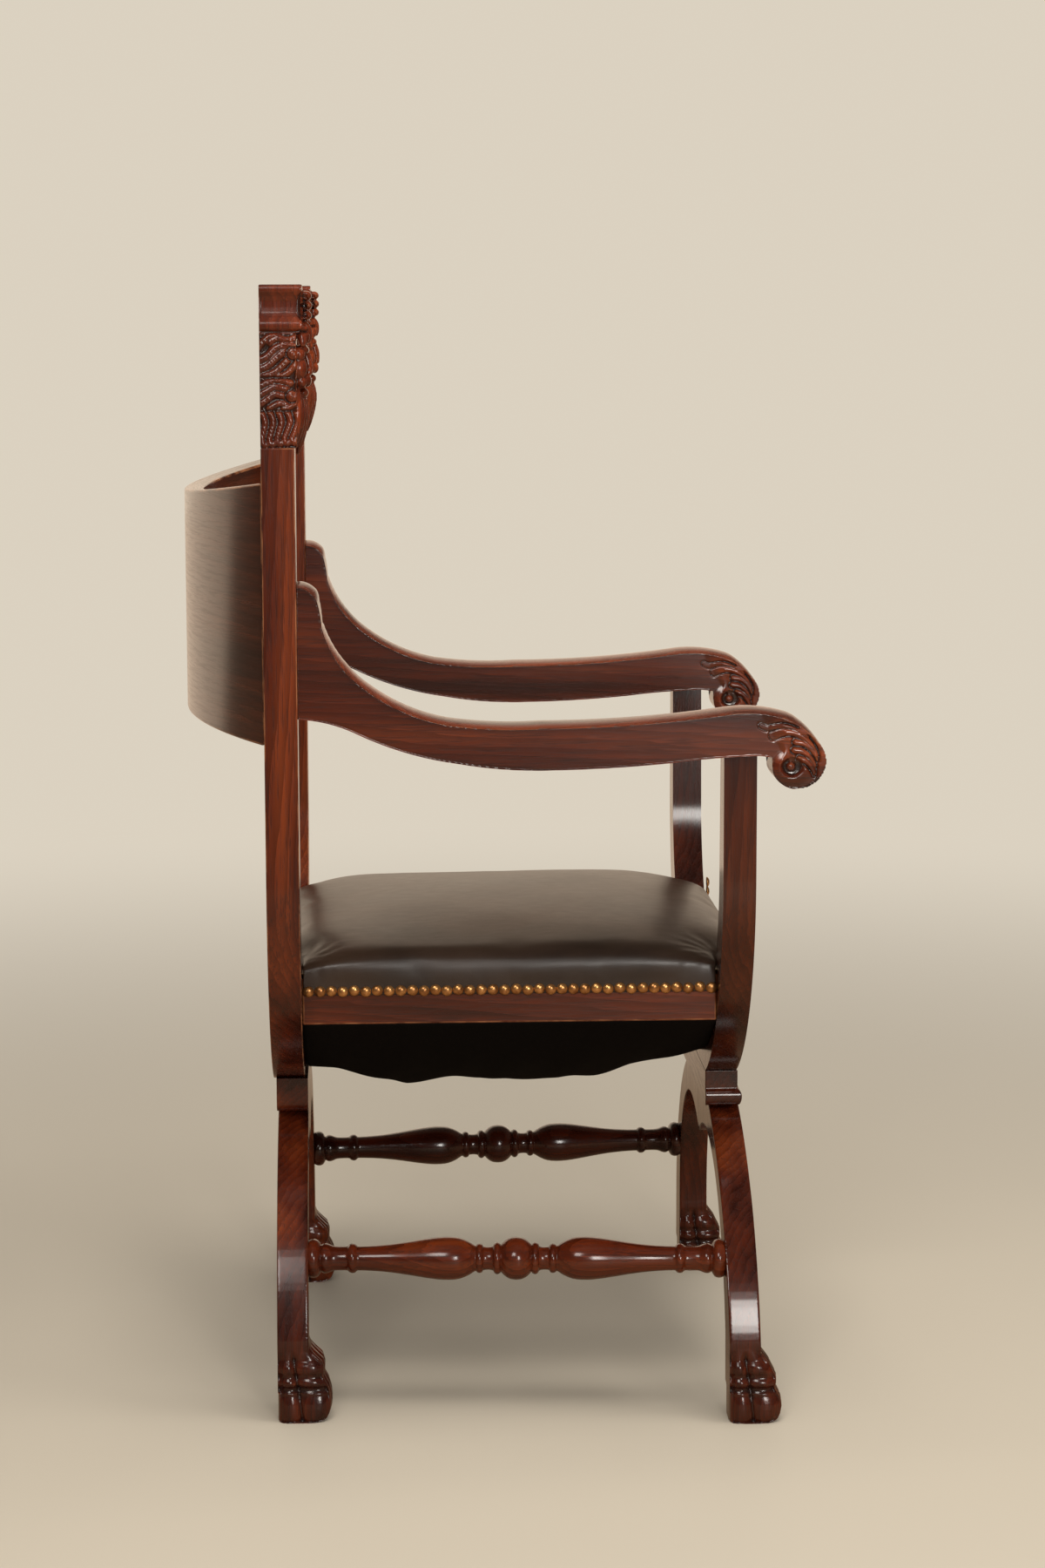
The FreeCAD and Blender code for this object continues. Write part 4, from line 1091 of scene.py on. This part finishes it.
# The hide keeps clear of the posts and stays close to the rails.
post_gap = 0.0008
side_slack = 0.0036
end_slack = 0.0003
into_tongue = np.maximum(post_front - places[:, 1], places[:, 1] - post_rear)
beside_post = (into_tongue > 0) & (np.abs(places[:, 0]) > tongue_half + post_gap)
nearer_side = np.abs(places[:, 0]) - tongue_half < into_tongue
pull_in = beside_post & nearer_side
places[pull_in, 0] = np.sign(places[pull_in, 0]) * (tongue_half + post_gap)
push_back = beside_post & ~nearer_side
places[push_back, 1] = np.clip(places[push_back, 1], post_front, post_rear)
places = np.clip(
    places, (-hide_half - side_slack, hide_front - end_slack, hide_edge - 0.01),
    (hide_half + side_slack, hide_rear + end_slack, seat_high.z + 0.002))
move_points(hide_mesh, places)
stuffing_mesh = hide_mesh.copy()
below_hide = 0.0056
stuffing = places - normals_of(hide_mesh) * below_hide
stuffing[:, 2] = np.maximum(stuffing[:, 2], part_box("seat_pad")[0].z + 0.0004)
move_points(stuffing_mesh, stuffing)
hair = spotted("hair", (0.03, 0.018, 0.012), (0.16, 0.10, 0.06), 300, 0.9, 0.3)
stuffing_piece = new_piece("seat_stuffing", stuffing_mesh, hair)
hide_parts("seat_pad")
hide_bm = bmesh.new()
hide_bm.from_mesh(hide_mesh)
bmesh.ops.bisect_plane(
    hide_bm, geom=hide_bm.verts[:] + hide_bm.edges[:] + hide_bm.faces[:], dist=1e-6,
    plane_co=(0, 0, hide_edge + 0.0005), plane_no=(0, 0, 1), clear_inner=True)
hide_mesh = mesh_from(hide_bm, "seat_hide")

leather, tree, finish = new_material("hide_brown")
place = node(tree, "ShaderNodeTexCoord").outputs["Object"]
clouds = noise(tree, place, 9, 5, distortion=0.6)
cells = node(tree, "ShaderNodeTexVoronoi", {"Vector": place, "Scale": 620}, feature="DISTANCE_TO_EDGE")
cracks = mapped(tree, cells.outputs["Distance"], 0, 0.16)
stretched = node(tree, "ShaderNodeMapping", {"Vector": place, "Scale": (60, 24, 60)}).outputs[0]
lines = noise(tree, stretched, 2.4, 7)
height = maths(tree, "MULTIPLY_ADD", lines, 1.6, cracks)
bump = node(tree, "ShaderNodeBump", {"Height": height, "Strength": 0.14, "Distance": 0.0004})
set_inputs(finish, {
    "Base Color": toned(tree, clouds, (0.35, (0.0135, 0.0066, 0.0036)), (0.68, (0.0310, 0.0160, 0.0090))),
    "Normal": bump.outputs[0], "Roughness": mapped(tree, lines, 0, 1, 0.34, 0.46),
    "Specular IOR Level": 0.42, "Coat Weight": 0.35, "Coat Roughness": 0.26})

hide_piece = new_piece("seat_hide", hide_mesh, leather)
rounding = hide_piece.modifiers.new("rounding", "SUBSURF")
rounding.levels = 1
rounding.render_levels = 1
hide_thick = hide_piece.modifiers.new("hide_thick", "SOLIDIFY")
hide_thick.thickness = 0.0018
hide_thick.offset = -1
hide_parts("seat_leather")


# Nails: domed antique brass, touching one another along each side just above the leather's cut
# edge, and in short upright rows beside the posts at the front and the rear.
nail_radius = 0.0055
nail_rise = 0.0026
nail_line = hide_edge + 0.0048
nail_sides = 14
# Each ring's share of the nail's radius and of its rise.
nail_rings = ((1.0, -0.25), (1.03, 0.02), (0.93, 0.34), (0.72, 0.68), (0.40, 0.92))


def add_nail(bm, place, outward, twist):
    """One hammered dome, a little out of true, facing outward."""
    up = Vector((0, 0, 1))
    aside = up.cross(outward).normalized()
    squash = 1 + 0.015 * math.sin(twist * 5.1)
    rings = []
    for spread, rise in nail_rings:
        ring = []
        for k in range(nail_sides):
            a = 2 * math.pi * k / nail_sides
            wobble = nail_radius * spread * (1 + 0.006 * math.sin(3 * a + twist))
            out_from_middle = wobble * (math.cos(a) * aside * squash + math.sin(a) * up)
            ring.append(place + out_from_middle + nail_rise * rise * outward)
        rings.append(ring)
    add_skin(bm, rings, tip=place + nail_rise * outward)


nails = bmesh.new()
side_count = 36
side_first = post_front + 0.0042
side_last = post_rear - 0.0048
end_count = 36
end_reach = tongue_half - 0.0052
upright_rows = 4
for number in range(side_count):
    share = number / (side_count - 1)
    for side in (-1, 1):
        twist = number * 1.7 + side
        along = side_first + (side_last - side_first) * share + 0.0003 * math.sin(twist * 3.3)
        level = nail_line + 0.0005 * math.sin(twist * 2.1)
        add_nail(nails, Vector((side * hide_half, along, level)), Vector((side, 0, 0)), twist)
for face_y, outward in ((hide_front, Vector((0, -1, 0))), (hide_rear, Vector((0, 1, 0)))):
    for number in range(end_count):
        across = -end_reach + 2 * end_reach * number / (end_count - 1)
        twist = number * 1.3 + outward.y
        add_nail(nails, Vector((across, face_y, nail_line + 0.0004 * math.sin(twist))), outward, twist)
    for step in range(1, upright_rows):
        for side in (-1, 1):
            place = Vector((side * end_reach, face_y, nail_line + step * 2 * nail_radius * 0.93))
            add_nail(nails, place, outward, step + side * 2.2)
bmesh.ops.recalc_face_normals(nails, faces=nails.faces)

brass, tree, finish = new_material("nail_brass")
tarnish = noise(tree, node(tree, "ShaderNodeTexCoord").outputs["Object"], 130, 4)
set_inputs(finish, {
    "Base Color": toned(tree, tarnish, (0.34, (0.27, 0.112, 0.036)), (0.62, (0.62, 0.315, 0.110))),
    "Metallic": 0.85, "Roughness": mapped(tree, tarnish, 0, 1, 0.36, 0.22)})
new_piece("seat_nails", mesh_from(nails, "seat_nails"), brass)


# Dust cover: black cambric tacked up under the side rails. It hangs slack in a trough between the
# hubs, with two low bellies and soft folds from its tacks.
cover_low, cover_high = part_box("dust_cover")
cover_half = cover_high.x - 0.0012
cover_front = cover_low.y + 0.0004
cover_rear = 0.1910
cover_hangs = (
    (-0.216, 0.3240), (-0.182, 0.3142), (-0.106, 0.2960), (-0.066, 0.2900), (-0.020, 0.2910),
    (0.012, 0.2945), (0.060, 0.2910), (0.091, 0.2890), (0.130, 0.2970), (0.172, 0.3050), (0.190, 0.3095))
across_count = 120
along_count = 96
cover = bmesh.new()
rows = []
for j in range(along_count + 1):
    along = cover_front + (cover_rear - cover_front) * j / along_count
    lowest = read_table(along, cover_hangs)
    row = []
    for i in range(across_count + 1):
        side = 2 * i / across_count - 1
        drop = 1 - side * side
        fold = 0.0016 * math.sin(along * 58 + 5 * side) + 0.0011 * math.sin(along * 103 - 9 * side + 1)
        scallop = 0.0022 * math.sin(along * 138) * math.exp(-((abs(side) - 0.93) / 0.10) ** 2)
        sag = (cover_high.z - lowest - fold) * drop
        reach = cover_half - 0.0006 - 0.004 * drop - scallop * drop
        level = cover_high.z + 0.0003 - sag
        over_hub = min(1.0, max(0.0, (level - 0.319) / 0.012)) * (j / along_count) ** 6
        row.append(cover.verts.new((side * reach, along + 0.0032 * over_hub, level)))
    rows.append(row)
for one, two in zip(rows, rows[1:]):
    for i in range(across_count):
        cover.faces.new((one[i], one[i + 1], two[i + 1], two[i]))
bmesh.ops.recalc_face_normals(cover, faces=cover.faces)
# The cloth's colour is darker than black cloth: painted shade under the seat.
shaded_cambric = spotted("shaded_cambric", (0.0016, 0.0012, 0.0010), (0.0036, 0.0027, 0.0022), 900, 0.95)
set_inputs(shaded_cambric.node_tree.nodes["Principled BSDF"], {"Specular IOR Level": 0.12})
cover_mesh = mesh_from(cover, "dust_cover_cambric")
cover_piece = new_piece("dust_cover_cambric", cover_mesh, shaded_cambric)
cover_thick = cover_piece.modifiers.new("cover_thick", "SOLIDIFY")
cover_thick.thickness = 0.0006
cover_thick.offset = 0
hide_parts("dust_cover")
